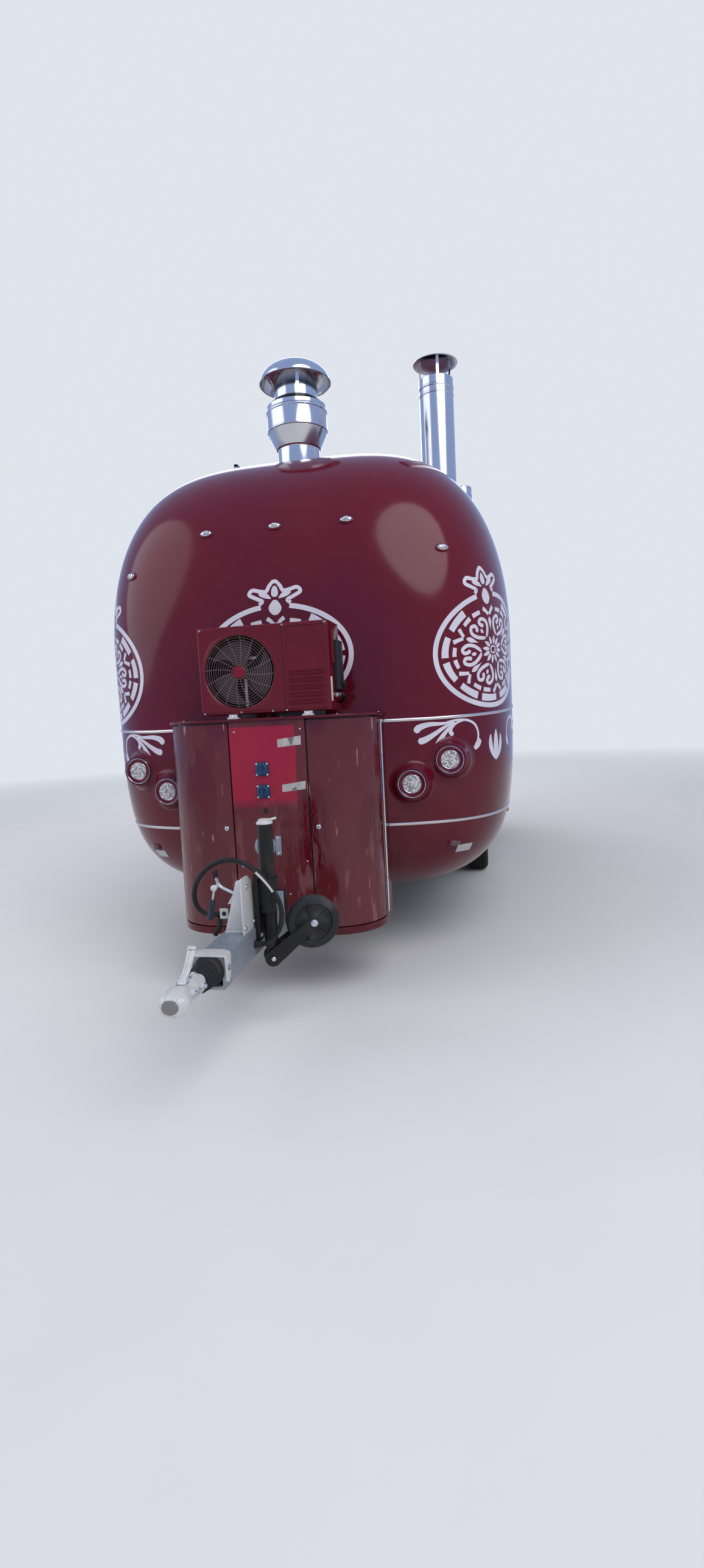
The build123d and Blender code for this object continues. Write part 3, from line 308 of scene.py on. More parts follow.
jockey_rubber = rubber("jockey rubber", (0.022, 0.021, 0.022), 0.62, 160.0, (0.13, 0.12, 0.12), 0.5)
tube_blue = plastic("strut paint", (0.020, 0.028, 0.050), 0.30)
guard_wire = plastic("guard wire", (0.230, 0.130, 0.145), 0.35)
rim_silver = polished("rim silver", (0.60, 0.61, 0.62), 0.34, (1.0, 1.0, 1.0))
lens_clear = clear("lamp lens", (0.78, 0.75, 0.78), 90.0)
lens_chrome = polished("marker chrome", (0.62, 0.58, 0.60), 0.10)
lens_dark = clear("marker lens", (0.16, 0.10, 0.11), 240.0)
lens_white = clear("white reflector", (0.74, 0.72, 0.74), 380.0)
lens_red = clear("red lens", (0.46, 0.005, 0.005))
lens_amber = clear("amber lens", (0.72, 0.16, 0.006))
board_dark = plastic("sign board", (0.028, 0.024, 0.026), 0.45)
floor_board = rubber("floor board", (0.14, 0.11, 0.09), 0.55, 90.0, (0.30, 0.26, 0.22), 0.3)


def window_finish():
    """Tinted pane: smooth, with faint smears."""
    f = Finish("window pane")
    smear = f.noise(6.0, 5.0, f.stretched((1.0, 1.0, 4.0)))
    return f.surface(Base_Color=f.mix(smear, (0.10, 0.12, 0.13), (0.16, 0.18, 0.19)),
        Roughness=0.03 + smear * 0.06, Alpha=f.between(smear, 0.2, 0.9, 0.55, 0.75),
        IOR=1.45, Coat_Weight=1.0)


pane = window_finish()


# Pieces: directions, then the mesh they are collected in

UP = (0, 0, 1)
FRONT = (0, -1, 0)
REAR = (0, 1, 0)


class Piece:
    """Collects closed shapes in millimetres (across, behind the nose, up) and makes one mesh of them."""

    def __init__(self, name):
        self.name = name
        self.points = []
        self.faces = []
        self.finishes = []
        self.count = 0

    def number(self, finish):
        """The finish's place among the piece's finishes."""
        if finish not in self.finishes:
            self.finishes.append(finish)
        return self.finishes.index(finish)

    def add(self, points, faces, finish):
        """Points, and faces as one array for each number of corners."""
        for group in faces:
            group = np.asarray(group, int)
            if len(group):
                self.faces.append((group + self.count, self.number(finish)))
        self.points.append(np.asarray(points, float).reshape(-1, 3))
        self.count += len(self.points[-1])

    def grid(self, points, finish, round_u=False, round_v=False, ends=False):
        """A surface through rows of points; it may close on itself, or have its two end rows filled."""
        points = np.asarray(points, float)
        nu, nv = points.shape[:2]
        faces = [grid_faces(nu, nv, round_u, round_v)]
        if ends:
            faces.append(np.arange(nv)[None, ::-1])
            faces.append((nu - 1) * nv + np.arange(nv)[None, :])
        self.add(points, faces, finish)

    def thick(self, points, normals, depth, finish, inner=None, faces=None):
        """A sheet given a depth against its normals, with its open edges closed by a rim."""
        faces = grid_faces(*points.shape[:2]) if faces is None else faces
        normals = np.broadcast_to(normals, points.shape).reshape(-1, 3)
        points = points.reshape(-1, 3)
        _, first, back = np.unique(np.round(points * 20).astype(np.int64), axis=0, return_index=True,
            return_inverse=True)
        points, normals, faces = points[first], normals[first], back.reshape(-1)[faces]
        n = len(points)
        flat = faces == np.roll(faces, -1, 1)
        quads = faces[flat.sum(1) == 0]
        bent = flat.sum(1) == 1
        threes = faces[bent][~flat[bent]].reshape(-1, 3)
        groups = (quads, threes)
        edges = np.concatenate([np.stack([g.ravel(), np.roll(g, -1, 1).ravel()], 1) for g in groups])
        a, b, c = (points[quads[:, i]] for i in range(3))
        if (np.cross(b - a, c - b) * normals[quads[:, 0]]).sum() < 0:
            quads, threes, edges = quads[:, ::-1], threes[:, ::-1], edges[:, ::-1]
        key = np.sort(edges, 1)
        order = key[:, 0] * n + key[:, 1]
        _, where, times = np.unique(order, return_index=True, return_counts=True)
        rim = edges[where[times == 1]]
        sides = np.stack([rim[:, 1], rim[:, 0], rim[:, 0] + n, rim[:, 1] + n], 1)
        both = np.concatenate([points, points - normals * depth])
        self.add(both, [quads, threes, sides], finish)
        start = self.count - 2 * n
        for group in (quads, threes):
            if len(group):
                self.faces.append((group[:, ::-1] + n + start, self.number(inner or finish)))

    def make(self, nodes, slot, body="trailer", sharp=32, outward=True, bevel=0.0):
        """The finished object, riding on a body, in place of the nodes named in one string."""
        points = np.concatenate(self.points)
        points = np.stack([points[:, 0], points[:, 1] + NOSE, points[:, 2]], 1) * 0.001
        mesh = bpy.data.meshes.new(self.name)
        mesh.from_pydata(points.tolist(), [], [face for group, _ in self.faces for face in group.tolist()])
        numbers = np.repeat([number for _, number in self.faces], [len(group) for group, _ in self.faces])
        mesh.polygons.foreach_set("material_index", numbers.astype(np.int32))
        for finish in self.finishes:
            mesh.materials.append(finish)
        mesh.update(calc_edges=True)
        mesh.validate()
        work = bmesh.new()
        work.from_mesh(mesh)
        bmesh.ops.remove_doubles(work, verts=work.verts, dist=0.00002)
        bmesh.ops.dissolve_degenerate(work, edges=work.edges, dist=0.000005)
        if outward:
            bmesh.ops.recalc_face_normals(work, faces=work.faces)
        work.to_mesh(mesh)
        work.free()
        mesh.polygons.foreach_set("use_smooth", [True] * len(mesh.polygons))
        mesh.set_sharp_from_angle(angle=radians(sharp))
        made = bpy.data.objects.new(self.name, mesh)
        bpy.context.scene.collection.objects.link(made)
        if bevel:
            edge = made.modifiers.new("edges", "BEVEL")
            edge.width = bevel * 0.001
            edge.segments = 2
            edge.limit_method = "ANGLE"
            edge.angle_limit = radians(50)
        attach(made, body)
        if nodes:
            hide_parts(*nodes.split())
        return made


def built(nodes, slot, **looks):
    """Makes a piece at once from the function that follows, under that function's name."""
    def run(shape):
        piece = Piece(shape.__name__)
        shape(piece)
        piece.make(nodes, slot, **looks)
        return shape
    return run


def grid_faces(nu, nv, round_u=False, round_v=False):
    """Quads between neighbouring rows and columns of a grid."""
    u = np.arange(nu if round_u else nu - 1)[:, None]
    v = np.arange(nv if round_v else nv - 1)[None, :]
    u1 = (u + 1) % nu
    v1 = (v + 1) % nv
    quads = np.stack(np.broadcast_arrays(u * nv + v, u1 * nv + v, u1 * nv + v1, u * nv + v1), -1)
    return quads.reshape(-1, 4)


def direction(vector):
    """The vector at length one; works on rows of vectors too."""
    vector = np.asarray(vector, float)
    return vector / np.maximum(np.linalg.norm(vector, axis=-1, keepdims=True), 1e-9)


def side_axes(axis):
    """Two directions square to an axis."""
    axis = direction(axis)
    helper = np.array([0.0, 0.0, 1.0]) if abs(axis[2]) < 0.9 else np.array([1.0, 0.0, 0.0])
    first = direction(np.cross(helper, axis))
    return first, np.cross(axis, first)


def once_round(count):
    """Even angles once round."""
    return np.linspace(0, 2 * pi, count, endpoint=False)


def on_circle(angle):
    """Points of the unit circle."""
    return np.stack([np.cos(angle), np.sin(angle)], 1)


def spoke(angle):
    """Level direction at an angle."""
    return np.array([cos(angle), sin(angle), 0])


def places(x, s, z):
    """Places from their three coordinates, which are spread to one shape."""
    return np.stack(np.broadcast_arrays(x, s, z), -1)


def lengths_along(line):
    """Length of a line up to each of its points."""
    return np.concatenate([[0], np.cumsum(np.linalg.norm(np.diff(line, axis=0), axis=1))])


def disc(radius, low, high):
    """Profile of a plain disc."""
    return [(0, low), (radius, low), (radius, high), (0, high)]


def strip(half, thick):
    """Section of a flat strip."""
    return [(-half, -thick), (half, -thick), (half, thick), (-half, thick)]


def bead(half, rise, count=6):
    """Section of a pressed bead: half an ellipse."""
    return on_circle(np.linspace(0, pi, count)) * (half, rise)


def rounded_line(points, radius, steps=5, closed=False):
    """A line whose corners become quadratic arcs that start and end within the radius."""
    points = np.asarray(points, float)
    radius = np.broadcast_to(radius, len(points))
    before = np.roll(points, 1, 0)
    after = np.roll(points, -1, 0)
    into = before - points
    out = after - points
    reach = np.minimum(radius, 0.49 * np.minimum(np.linalg.norm(into, axis=1), np.linalg.norm(out,
        axis=1)))[:, None]
    a = points + direction(into) * reach
    b = points + direction(out) * reach
    t = np.linspace(0, 1, steps)[None, :, None]
    arcs = a[:, None] * (1 - t) ** 2 + points[:, None] * 2 * t * (1 - t) + b[:, None] * t ** 2
    if not closed:
        arcs[0] = points[0]
        arcs[-1] = points[-1]
    return arcs.reshape(-1, points.shape[1])


def box_line(x0, x1, z0, z1, radius, steps=4):
    """Rounded rectangle."""
    return rounded_line([(x0, z0), (x1, z0), (x1, z1), (x0, z1)], radius, steps, True)


def upright(line, s, middle=(0, 0)):
    """Flat (across, up) line stood at a distance behind the nose, round a middle."""
    return np.column_stack([line[:, 0] + middle[0], np.full(len(line), s), line[:, 1] + middle[1]])


def lathe(piece, finish, profile, centre, axis=UP, count=48, radius=0.0):
    """Profile of (radius, distance along the axis) turned once round the axis; its corners may be rounded.
    One that doesn't begin on the axis is closed into a ring."""
    closed = profile[0][0] > 0
    profile = rounded_line(profile, radius, 4, closed) if radius else np.asarray(profile, float)
    first, second = side_axes(axis)
    angle = once_round(count)
    ring = np.cos(angle)[:, None] * first + np.sin(angle)[:, None] * second
    outwards, along = profile[None, :, :1], profile[None, :, 1:2]
    points = np.asarray(centre, float) + outwards * ring[:, None, :] + along * direction(axis)
    piece.grid(points, finish, round_u=True, round_v=closed)


def smooth_path(points, count=8, closed=False):
    """Curve through points: cubic pieces whose slope at a point is half the step between its neighbours."""
    p = np.asarray(points, float)
    if closed:
        before, after = np.roll(p, 1, 0), np.roll(p, -1, 0)
        slope = (after - before) / 2
        start, end = p, np.roll(p, -1, 0)
        s0, s1 = slope, np.roll(slope, -1, 0)
    else:
        slope = np.gradient(p, axis=0)
        start, end, s0, s1 = p[:-1], p[1:], slope[:-1], slope[1:]
    t = np.linspace(0, 1, count, endpoint=False)[None, :, None]
    h = (start[:, None] * (2 * t ** 3 - 3 * t ** 2 + 1) + s0[:, None] * (t ** 3 - 2 * t ** 2 + t) + end[:,
        None] * (3 * t ** 2 - 2 * t ** 3) + s1[:, None] * (t ** 3 - t ** 2))
    line = h.reshape(-1, p.shape[1])
    return line if closed else np.concatenate([line, p[-1:]])


def carried(piece, finish, path, section, up=UP, closed=False, scale=1.0):
    """A closed section of (side, up) offsets carried along a path, square to it."""
    path = np.asarray(path, float)
    if closed:
        ahead = direction(np.roll(path, -1, 0) - np.roll(path, 1, 0))
    else:
        ahead = direction(np.gradient(path, axis=0))
    side = direction(np.cross(ahead, np.broadcast_to(np.asarray(up, float), path.shape)))
    top = np.cross(side, ahead)
    section = np.asarray(section, float)
    factor = np.broadcast_to(np.asarray(scale, float), len(path))
    points = (path[:, None] + factor[:, None, None] * (section[None, :, :1] * side[:, None] + section[None,
        :, 1:2] * top[:, None]))
    piece.grid(points, finish, round_u=closed, round_v=True, ends=not closed)


def circle(radius, count=12):
    """Points of a circle as a section."""
    return on_circle(once_round(count)) * radius


def pipe(piece, finish, path, radius, count=12, up=UP):
    """Round bar along a path."""
    carried(piece, finish, path, circle(radius, count), up)


def bar(piece, finish, start, end, radius, count=24, soft=1.0):
    """Round bar between two points with softened ends."""
    start, end = np.asarray(start, float), np.asarray(end, float)
    length = np.linalg.norm(end - start)
    lathe(piece, finish, disc(radius, 0, length), start, end - start, count, radius=soft)


def block(piece, finish, low, high, radius=2.0, steps=3):
    """Box with rounded edges: a sphere whose eight octants are pulled apart, with poles front and back."""
    low, high = np.asarray(low, float), np.asarray(high, float)
    centre, half = (low + high) / 2, (high - low) / 2
    radius = min(radius, half.min() * 0.98)
    inner = half - radius
    a = np.linspace(0, pi / 2, steps + 1)
    around = np.concatenate([a + k * pi / 2 for k in range(4)])
    sx = np.repeat([1, -1, -1, 1], steps + 1)
    sz = np.repeat([1, 1, -1, -1], steps + 1)
    rows = np.concatenate([a - pi / 2, a])
    sy = np.repeat([-1, 1], steps + 1)
    x = sx[None] * inner[0] + radius * np.cos(rows)[:, None] * np.cos(around)[None]
    z = sz[None] * inner[2] + radius * np.cos(rows)[:, None] * np.sin(around)[None]
    y = np.broadcast_to((sy * inner[1] + radius * np.sin(rows))[:, None], x.shape)
    points = np.stack([x, y, z], -1)
    nu, nv = points.shape[:2]
    corner = np.arange(4) * (steps + 1)
    caps = [corner[None, ::-1], (nu - 1) * nv + corner[None, :]]
    piece.add(points + centre, [grid_faces(nu, nv, False, True), *caps], finish)


def plate(piece, finish, outline, start, end, axis="y"):
    """Flat outline of (across, up) for y, (behind, up) for x, (across, behind) for z, carried along it."""
    outline = np.asarray(outline, float)
    n = len(outline)
    level = np.repeat([start, end], n)
    a, b = np.tile(outline[:, 0], 2), np.tile(outline[:, 1], 2)
    points = {"y": (a, level, b), "x": (level, a, b), "z": (a, b, level)}[axis]
    i = np.arange(n)
    j = (i + 1) % n
    faces = [np.stack([i, j, j + n, i + n], 1), i[None, ::-1], i[None, :] + n]
    piece.add(np.stack(points, 1), faces, finish)


def screw(piece, finish, place, axis, radius=6.0, height=4.0):
    """Six-sided bolt head on a washer."""
    lathe(piece, finish, disc(radius * 1.5, -1, 1.2), place, axis, 16)
    lathe(piece, finish, [(0, 1), (radius, 1), (radius, height - 1), (radius * 0.85, height), (0, height)],
        place, axis, 6)


# Cords: the routes are those of the part's source, in metres, as (across, behind the nose, up)

CABLE_ROUTE = ((-0.074, -0.728, 0.530), (-0.122, -0.752, 0.522), (-0.168, -0.782, 0.548), (-0.186, -0.795,
    0.606), (-0.168, -0.800, 0.676), (-0.122, -0.800, 0.732), (-0.060, -0.800, 0.764),
    (0.008, -0.800, 0.768), (0.070, -0.798, 0.740), (0.122, -0.796, 0.690), (0.164, -0.794, 0.632),
    (0.188, -0.792, 0.570), (0.184, -0.790, 0.508), (0.162, -0.786, 0.458), (0.128, -0.780, 0.424),
    (0.092, -0.776, 0.410), (0.0603, -0.776, 0.410))
HOSE_ROUTE = ((-0.098, -0.740, 0.5136), (-0.100, -0.738, 0.484), (-0.112, -0.730, 0.456), (-0.132, -0.722,
    0.434))


def in_frame(place):
    """A route's place in the frame's metres."""
    return (place[0], place[1] + NOSE / 1000, place[2])


def route_curve(name, route):
    """NURBS curve of order 3 whose control points are the route's."""
    data = bpy.data.curves.new(name, "CURVE")
    data.dimensions = "3D"
    data.resolution_u = 14
    line = data.splines.new("NURBS")
    line.points.add(len(route) - 1)
    for point, place in zip(line.points, route):
        point.co = (*in_frame(place), 1.0)
    line.order_u = 3
    line.use_endpoint_u = True
    made = bpy.data.objects.new(name, data)
    bpy.context.scene.collection.objects.link(made)
    return made


def along_route(route):
    """Points on the route's spline, in the pieces' millimetres."""
    made = route_curve("route", route)
    mesh = bpy.data.meshes.new_from_object(made)
    points = np.empty(len(mesh.vertices) * 3, np.float32)
    mesh.vertices.foreach_get("co", points)
    data = made.data
    bpy.data.objects.remove(made)
    bpy.data.curves.remove(data)
    bpy.data.meshes.remove(mesh)
    points = points.reshape(-1, 3).astype(float) * 1000
    points[:, 1] -= NOSE
    return points


def drawbar_cords():
    """Coupling cable with its parked plug, strain relief and a thin white strip, and the short ribbed hose.
    """
    line = along_route(CABLE_ROUTE)
    plug = Piece("parked_plug")
    start = line[0]
    way = direction(line[0] - line[1])
    lathe(plug, dark_plastic, [(0, -26), (11.5, -26), (13, -8), (15.5, 0), (17, 2), (17, 44), (15, 48),
        (15, 58), (13, 60), (0, 60)], start, way, 32, radius=2.5)
    first, second = side_axes(way)
    for a in once_round(12):
        out = cos(a) * first + sin(a) * second
        bar(plug, dark_plastic, start + out * 16 + way * 6, start + out * 16 + way * 38, 1.6, 8)
    block(plug, white_plastic, start + (-19, -25, -21), start + (19, -20.5, 23), 3)
    lathe(plug, dark_plastic, disc(9.5, 0, 1.2), start + (0, -25, 1), FRONT, 28)
    plug = plug.make("cable_plug", "plug_black")

    relief = Piece("cable_relief")
    way = direction(line[-1] - line[-2])
    lathe(relief, black_rubber, [(0, 0), (17, 0), (17, 5), (14.5, 9), (14, 14), (12.8, 17), (12.8, 22),
        (11.6, 25), (11.4, 33), (0, 33)], line[-1], -way, 32, radius=1.0)
    relief = relief.make("", "black_rubber")

    # A thin white strip along part of the cable's loop.
    white_strip = Piece("cable_white_strip")
    reach = lengths_along(line)
    arc = on_circle(np.linspace(-2.1, -1.1, 8))
    wrapped = line[(reach > 545) & (reach < 655)]
    carried(white_strip, white_plastic, wrapped, np.concatenate([arc * 10.9, arc[::-1] * 9]), (0, 1, 0.2))
    white_strip = white_strip.make("", "plug_black")

    cable = route_curve("coupling_lead", CABLE_ROUTE)
    cable.data.bevel_depth = 0.010
    cable.data.bevel_resolution = 5
    cable.data.use_fill_caps = True
    cable.data.materials.append(cable_black)
    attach(cable, "trailer")
    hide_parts("coupling_cable")

    line = along_route(HOSE_ROUTE)
    reach = lengths_along(line)
    even = np.linspace(0, reach[-1], 91)
    path = np.stack([np.interp(even, reach, line[:, i]) for i in range(3)], 1)
    hose = Piece("ribbed_hose")
    ribs = 0.91 + 0.09 * np.cos(np.linspace(0, 2 * pi * 11, 91))
    carried(hose, black_rubber, path, circle(12.0, 20), REAR, scale=ribs)
    hose.make("corrugated_hose", "black_rubber")


drawbar_cords()


# The moulded body's surface

def share(z):
    """What is left of the section at a height: 1 less the height's share to the roof's or belly's power."""
    z = np.asarray(z, float)
    up = (np.maximum(z - WIDEST, 0) / RISE) ** ROOF_POWER
    down = (np.maximum(WIDEST - z, 0) / DROP) ** BELLY_POWER
    return np.clip(1 - up - down, 0, 1)


FINE = np.linspace(0, pi / 2, 4001)
UNIT_X = np.sin(FINE) ** (2 / SIDE_POWER)
UNIT_S = np.cos(FINE) ** (2 / NOSE_POWER)


def quarter(height):
    """Length along the quarter of the front's plan at a height, up to each fine step, in millimetres."""
    left = share(height)
    x = HALF_WIDTH * left ** (1 / SIDE_POWER) * UNIT_X
    s = CAP * left ** (1 / NOSE_POWER) * UNIT_S
    return np.concatenate([[0], np.cumsum(np.hypot(np.diff(x), np.diff(s)))])


def surface_point(x_unit, s_unit, base, sense, z):
    """Point of the body: across = half width times what is left to 1/side power; along with nose power."""
    left = share(z)
    x = HALF_WIDTH * left ** (1 / SIDE_POWER) * x_unit
    s = base - sense * CAP * left ** (1 / NOSE_POWER) * s_unit
    return places(x, s, z)


def body_normal(points):
    """Outward direction of the body: the slope of its formula."""
    x, s, z = points[..., 0], points[..., 1], points[..., 2]
    behind = np.minimum(s, LENGTH - s)
    inside = np.maximum(CAP - behind, 0) / CAP
    nx = np.sign(x) * SIDE_POWER * (np.abs(x) / HALF_WIDTH) ** (SIDE_POWER - 1) / HALF_WIDTH
    ns = NOSE_POWER * inside ** (NOSE_POWER - 1) / CAP * np.where(s < LENGTH / 2, -1, 1)
    up = ROOF_POWER * (np.maximum(z - WIDEST, 0) / RISE) ** (ROOF_POWER - 1) / RISE
    down = BELLY_POWER * (np.maximum(WIDEST - z, 0) / DROP) ** (BELLY_POWER - 1) / DROP
    return direction(np.stack([nx, ns, up - down], -1))


def face_distance(x, z):
    """Distance behind the nose of the front's surface at a place."""
    left = share(z)
    used = np.clip((np.abs(x) / HALF_WIDTH) ** SIDE_POWER / np.maximum(left, 1e-6), 0, 1)
    return CAP * (1 - left ** (1 / NOSE_POWER) * (1 - used) ** (1 / NOSE_POWER))


def half_width_at(z):
    """Half width of the full section at a height."""
    return HALF_WIDTH * share(z) ** (1 / SIDE_POWER)


def roof_at(x, s):
    """Height of the roof over a place."""
    inside = np.maximum(CAP - np.minimum(s, LENGTH - s), 0) / CAP
    used = (np.abs(x) / HALF_WIDTH) ** SIDE_POWER + inside ** NOSE_POWER
    return WIDEST + RISE * np.maximum(1 - used, 0) ** (1 / ROOF_POWER)


def on_body(a, z, lift, level):
    """Place at an arc length from the front's middle, measured at the level height, lifted off the body."""
    lengths = quarter(level)
    a, z = np.broadcast_arrays(np.asarray(a, float), np.asarray(z, float))
    t = np.interp(np.abs(a), lengths, FINE)
    beyond = np.maximum(np.abs(a) - lengths[-1], 0)
    points = surface_point(np.sign(a) * np.sin(t) ** (2 / SIDE_POWER), np.cos(t) ** (2 / NOSE_POWER),
        CAP + beyond, 1, z)
    return points + body_normal(points) * np.asarray(lift)[..., None]


def belt_height(s):
    """Height of the upper belt at a distance behind the nose."""
    return np.interp(s, [60, 1300, LENGTH - 1300, LENGTH - 60], [1284, 1346, 1346, 1284])


def plan_columns():
    """Columns once round the body, from the rear's middle by the kerb side: unit place, base, sense."""
    lengths = quarter(WIDEST)
    front = np.interp(np.linspace(0, lengths[-1], 44), lengths, FINE)
    rear = np.interp(np.linspace(0, lengths[-1], 32), lengths, FINE)
    arch = np.arange(8, 90, 6.8) * pi / 180
    cuts = [CAP, 1560, 3640, LENGTH - CAP]
    first, last = AXLES
    level_cuts = [first - 340.6, last + 340.6, first, last]
    wheel_cuts = [first - ARCH * np.cos(arch), last + ARCH * np.cos(arch), level_cuts]
    side = np.unique(np.round(np.concatenate([cuts, np.linspace(CAP, LENGTH - CAP, 41), *wheel_cuts]), 1))
    apart = np.concatenate([[True], np.diff(side) > 6])
    side = side[apart | np.isin(side, cuts)]

    def cap(t, sense, base, sign):
        return np.stack([sign * np.sin(t) ** (2 / SIDE_POWER), np.cos(t) ** (2 / NOSE_POWER),
            np.full(len(t), base), np.full(len(t), sense)], 1)

    def flank(s, sign):
        return np.stack([np.full(len(s), sign), np.zeros(len(s)), s, np.ones(len(s))], 1)

    parts = [cap(rear, -1, LENGTH - CAP, -1), flank(side[::-1], -1), cap(front[::-1], 1, CAP, -1),
        cap(front, 1, CAP, 1), flank(side, 1)]
    last_part = cap(rear[::-1], -1, LENGTH - CAP, 1)
    return np.concatenate([*(part[:-1] for part in parts), last_part])


COLUMNS = plan_columns()


def column_points(z):
    """Body points for heights given as rows by columns."""
    return surface_point(*COLUMNS.T[:, None], z)


def belt_rows():
    """Height of the belt at each column: place and height set each other, so it is found in a few rounds."""
    z = np.full((1, len(COLUMNS)), 1315.0)
    for _ in range(8):
        z = belt_height(column_points(z)[..., 1])
    return z


def cut_away(points, faces, keep_out):
    """Faces whose middle isn't in the part that is cut away."""
    middle = points.reshape(-1, 3)[faces].mean(1)
    return faces[~keep_out(middle)]


DOOR_FRAME = 395
DOOR_FOOT = 475
DOOR_TOP = 2375


def fit_doorway(points):
    """Shifts rear columns across by a straight-line rule, so that one stands on the door frame's edge."""
    x, s, z = points[..., 0], points[..., 1], points[..., 2]
    rear = s > LENGTH - CAP
    scale = HALF_WIDTH * share(z) ** (1 / SIDE_POWER)
    units = np.abs(COLUMNS[:, 0])[COLUMNS[:, 3] < 0]
    column = units[np.argmin(np.abs(units - DOOR_FRAME / HALF_WIDTH))]
    door, edge = scale * column, scale * 0.86
    across = np.abs(x)
    inner = across * DOOR_FRAME / np.maximum(door, 1)
    outer = DOOR_FRAME + (across - door) * (edge - DOOR_FRAME) / np.maximum(edge - door, 1)
    moved = np.where(across <= door + 0.01, inner, np.where(across < edge, outer, across))
    weight = np.interp(z, [DOOR_TOP, DOOR_TOP + 190], [1, 0])
    across = np.where(rear, across * (1 - weight) + moved * weight, across)
    s = np.where(rear & (weight > 0), LENGTH - face_distance(across, z), s)
    return np.stack([np.sign(x) * across, s, z], -1)


def in_doorway(middle):
    """The doorway's box."""
    return ((np.abs(middle[:, 0]) < DOOR_FRAME) & (middle[:, 1] > LENGTH - CAP) & (middle[:, 2] > DOOR_FOOT)
        & (middle[:, 2] < DOOR_TOP))


HATCH = (1560, 3640, 1400, 2180)
HINGE_X = -half_width_at(HATCH[3]) - 4
HINGE_Z = HATCH[3] - 3


def in_hatch(middle):
    """The serving hatch's box, on the kerb side."""
    return ((middle[:, 0] < -900) & (middle[:, 1] > HATCH[0]) & (middle[:, 1] < HATCH[1])
        & (middle[:, 2] > HATCH[2]) & (middle[:, 2] < HATCH[3]))


def roof_angle(z):
    """Angle whose cosine, to 2/roof power, gives the height."""
    return acos(((z - WIDEST) / RISE) ** (ROOF_POWER / 2))


@built("upper_front_shell upper_middle_shell upper_rear_shell", "maroon_shell", outward=False)
def upper_body(piece):
    """The shell above the belt with its openings: heights by the cosine of an angle."""
    belt = belt_rows()
    hatch, door = roof_angle(HATCH[3]), roof_angle(DOOR_TOP)
    angle = np.concatenate([np.linspace(pi / 2, hatch, 10), np.linspace(hatch, door, 5)[1:],
        np.linspace(door, 0, 24)[1:]])
    over_widest = WIDEST + RISE * np.cos(angle) ** (2 / ROOF_POWER)
    levels = np.concatenate([[HATCH[2], 1480, 1560, 1630], over_widest])
    fixed = np.broadcast_to(levels[:, None], (len(levels), len(COLUMNS)))
    z = np.concatenate([belt, (belt + HATCH[2]) / 2, fixed])
    points = fit_doorway(column_points(z))
    faces = grid_faces(*points.shape[:2])
    faces = cut_away(points, faces, lambda m: in_doorway(m) | in_hatch(m))
    piece.thick(points, body_normal(points), WALL, maroon, lining, faces)
    for start in (1580, 3457.3):
        bar(piece, hinge_metal, (HINGE_X, start, HINGE_Z), (HINGE_X, start + 162.7, HINGE_Z), 7)
    bar(piece, hinge_metal, (HINGE_X, 1581, HINGE_Z), (HINGE_X, 3619, HINGE_Z), 3.4)
    for jamb, sense in ((1560, 1), (3640, -1)):
        low, high = sorted((jamb - sense * 26, jamb - sense * 2))
        block(piece, hinge_metal, (-1140, low, 1530), (-1004, high, 1570), 3)
        bar(piece, hinge_metal, (-1020, jamb - sense * 20, 1550), (-1020, jamb + sense * 49, 1550), 6)
    for start in (1620, 3482):
        block(piece, hinge_metal, (-1192, start, 1380), (-1155, start + 98, 1390), 2)
        bar(piece, hinge_metal, (-1192, start, 1382), (-1192, start + 98, 1382), 8)
    bar(piece, hinge_metal, (-1192, 1621, 1382), (-1192, 3579, 1382), 3.9)


@built("lower_front_shell lower_side_walls lower_rear_shell", "maroon_shell", outward=False)
def lower_body(piece):
    """The shell below the belt: each column stops at the skirt or at the wheel arch's circle."""
    belt = belt_rows()
    levels = np.array([1262, 1220, 1160, 1090, 1020, 950, 880, 810, 750, 700, 655, 615, 580, 545, 510,
        DOOR_FOOT, 450, 425, 400, 375, 350.0])
    s = column_points(np.full((1, len(COLUMNS)), 350.0))[0, :, 1]
    past = np.maximum(np.maximum(AXLES[0] - s, s - AXLES[1]), 0)
    bottom = np.where(past < ARCH, AXLE_HEIGHT + np.sqrt(np.maximum(ARCH ** 2 - past ** 2, 0)), 350)
    bottom = np.maximum(bottom, 350)
    z = np.concatenate([belt, np.maximum(levels[:, None], bottom[None, :])])
    points = fit_doorway(column_points(z))
    faces = cut_away(points, grid_faces(*points.shape[:2]), in_doorway)
    piece.thick(points, body_normal(points), WALL, maroon, lining, faces)


@built("serving_hatch", "maroon_shell", body="serving_hatch", outward=False, bevel=1.5)
def hatch_panel(piece):
    """The panel in the kerb side's opening, with its hinge barrel, lugs and pull."""
    gap = 6
    z, s = np.meshgrid(np.linspace(HATCH[2] + gap, HATCH[3] - gap, 15), np.linspace(HATCH[0] + gap,
        HATCH[1] - gap, 30), indexing="ij")
    points = places(-half_width_at(z), s, z)
    piece.thick(points, body_normal(points), WALL, maroon, lining)
    for start in np.arange(1744, 3440, 106.8):
        bar(piece, hinge_metal, (HINGE_X, start, HINGE_Z), (HINGE_X, min(start + 105, 3456), HINGE_Z), 7)
    for y in (1600, 3600):
        low, high = sorted((y + (9 if y < 2600 else -9), y + (30 if y < 2600 else -30)))
        block(piece, hinge_metal, (-1105, low, 2090), (-1049.9, high, 2110), 2)
    for s0 in (2150, 2950):
        pipe(piece, hinge_metal, smooth_path([(-1166, s0, 1440), (-1184, s0, 1440), (-1188, s0 + 10, 1440),
            (-1188, s0 + 90, 1440), (-1184, s0 + 100, 1440), (-1166, s0 + 100, 1440)], 5), 5)


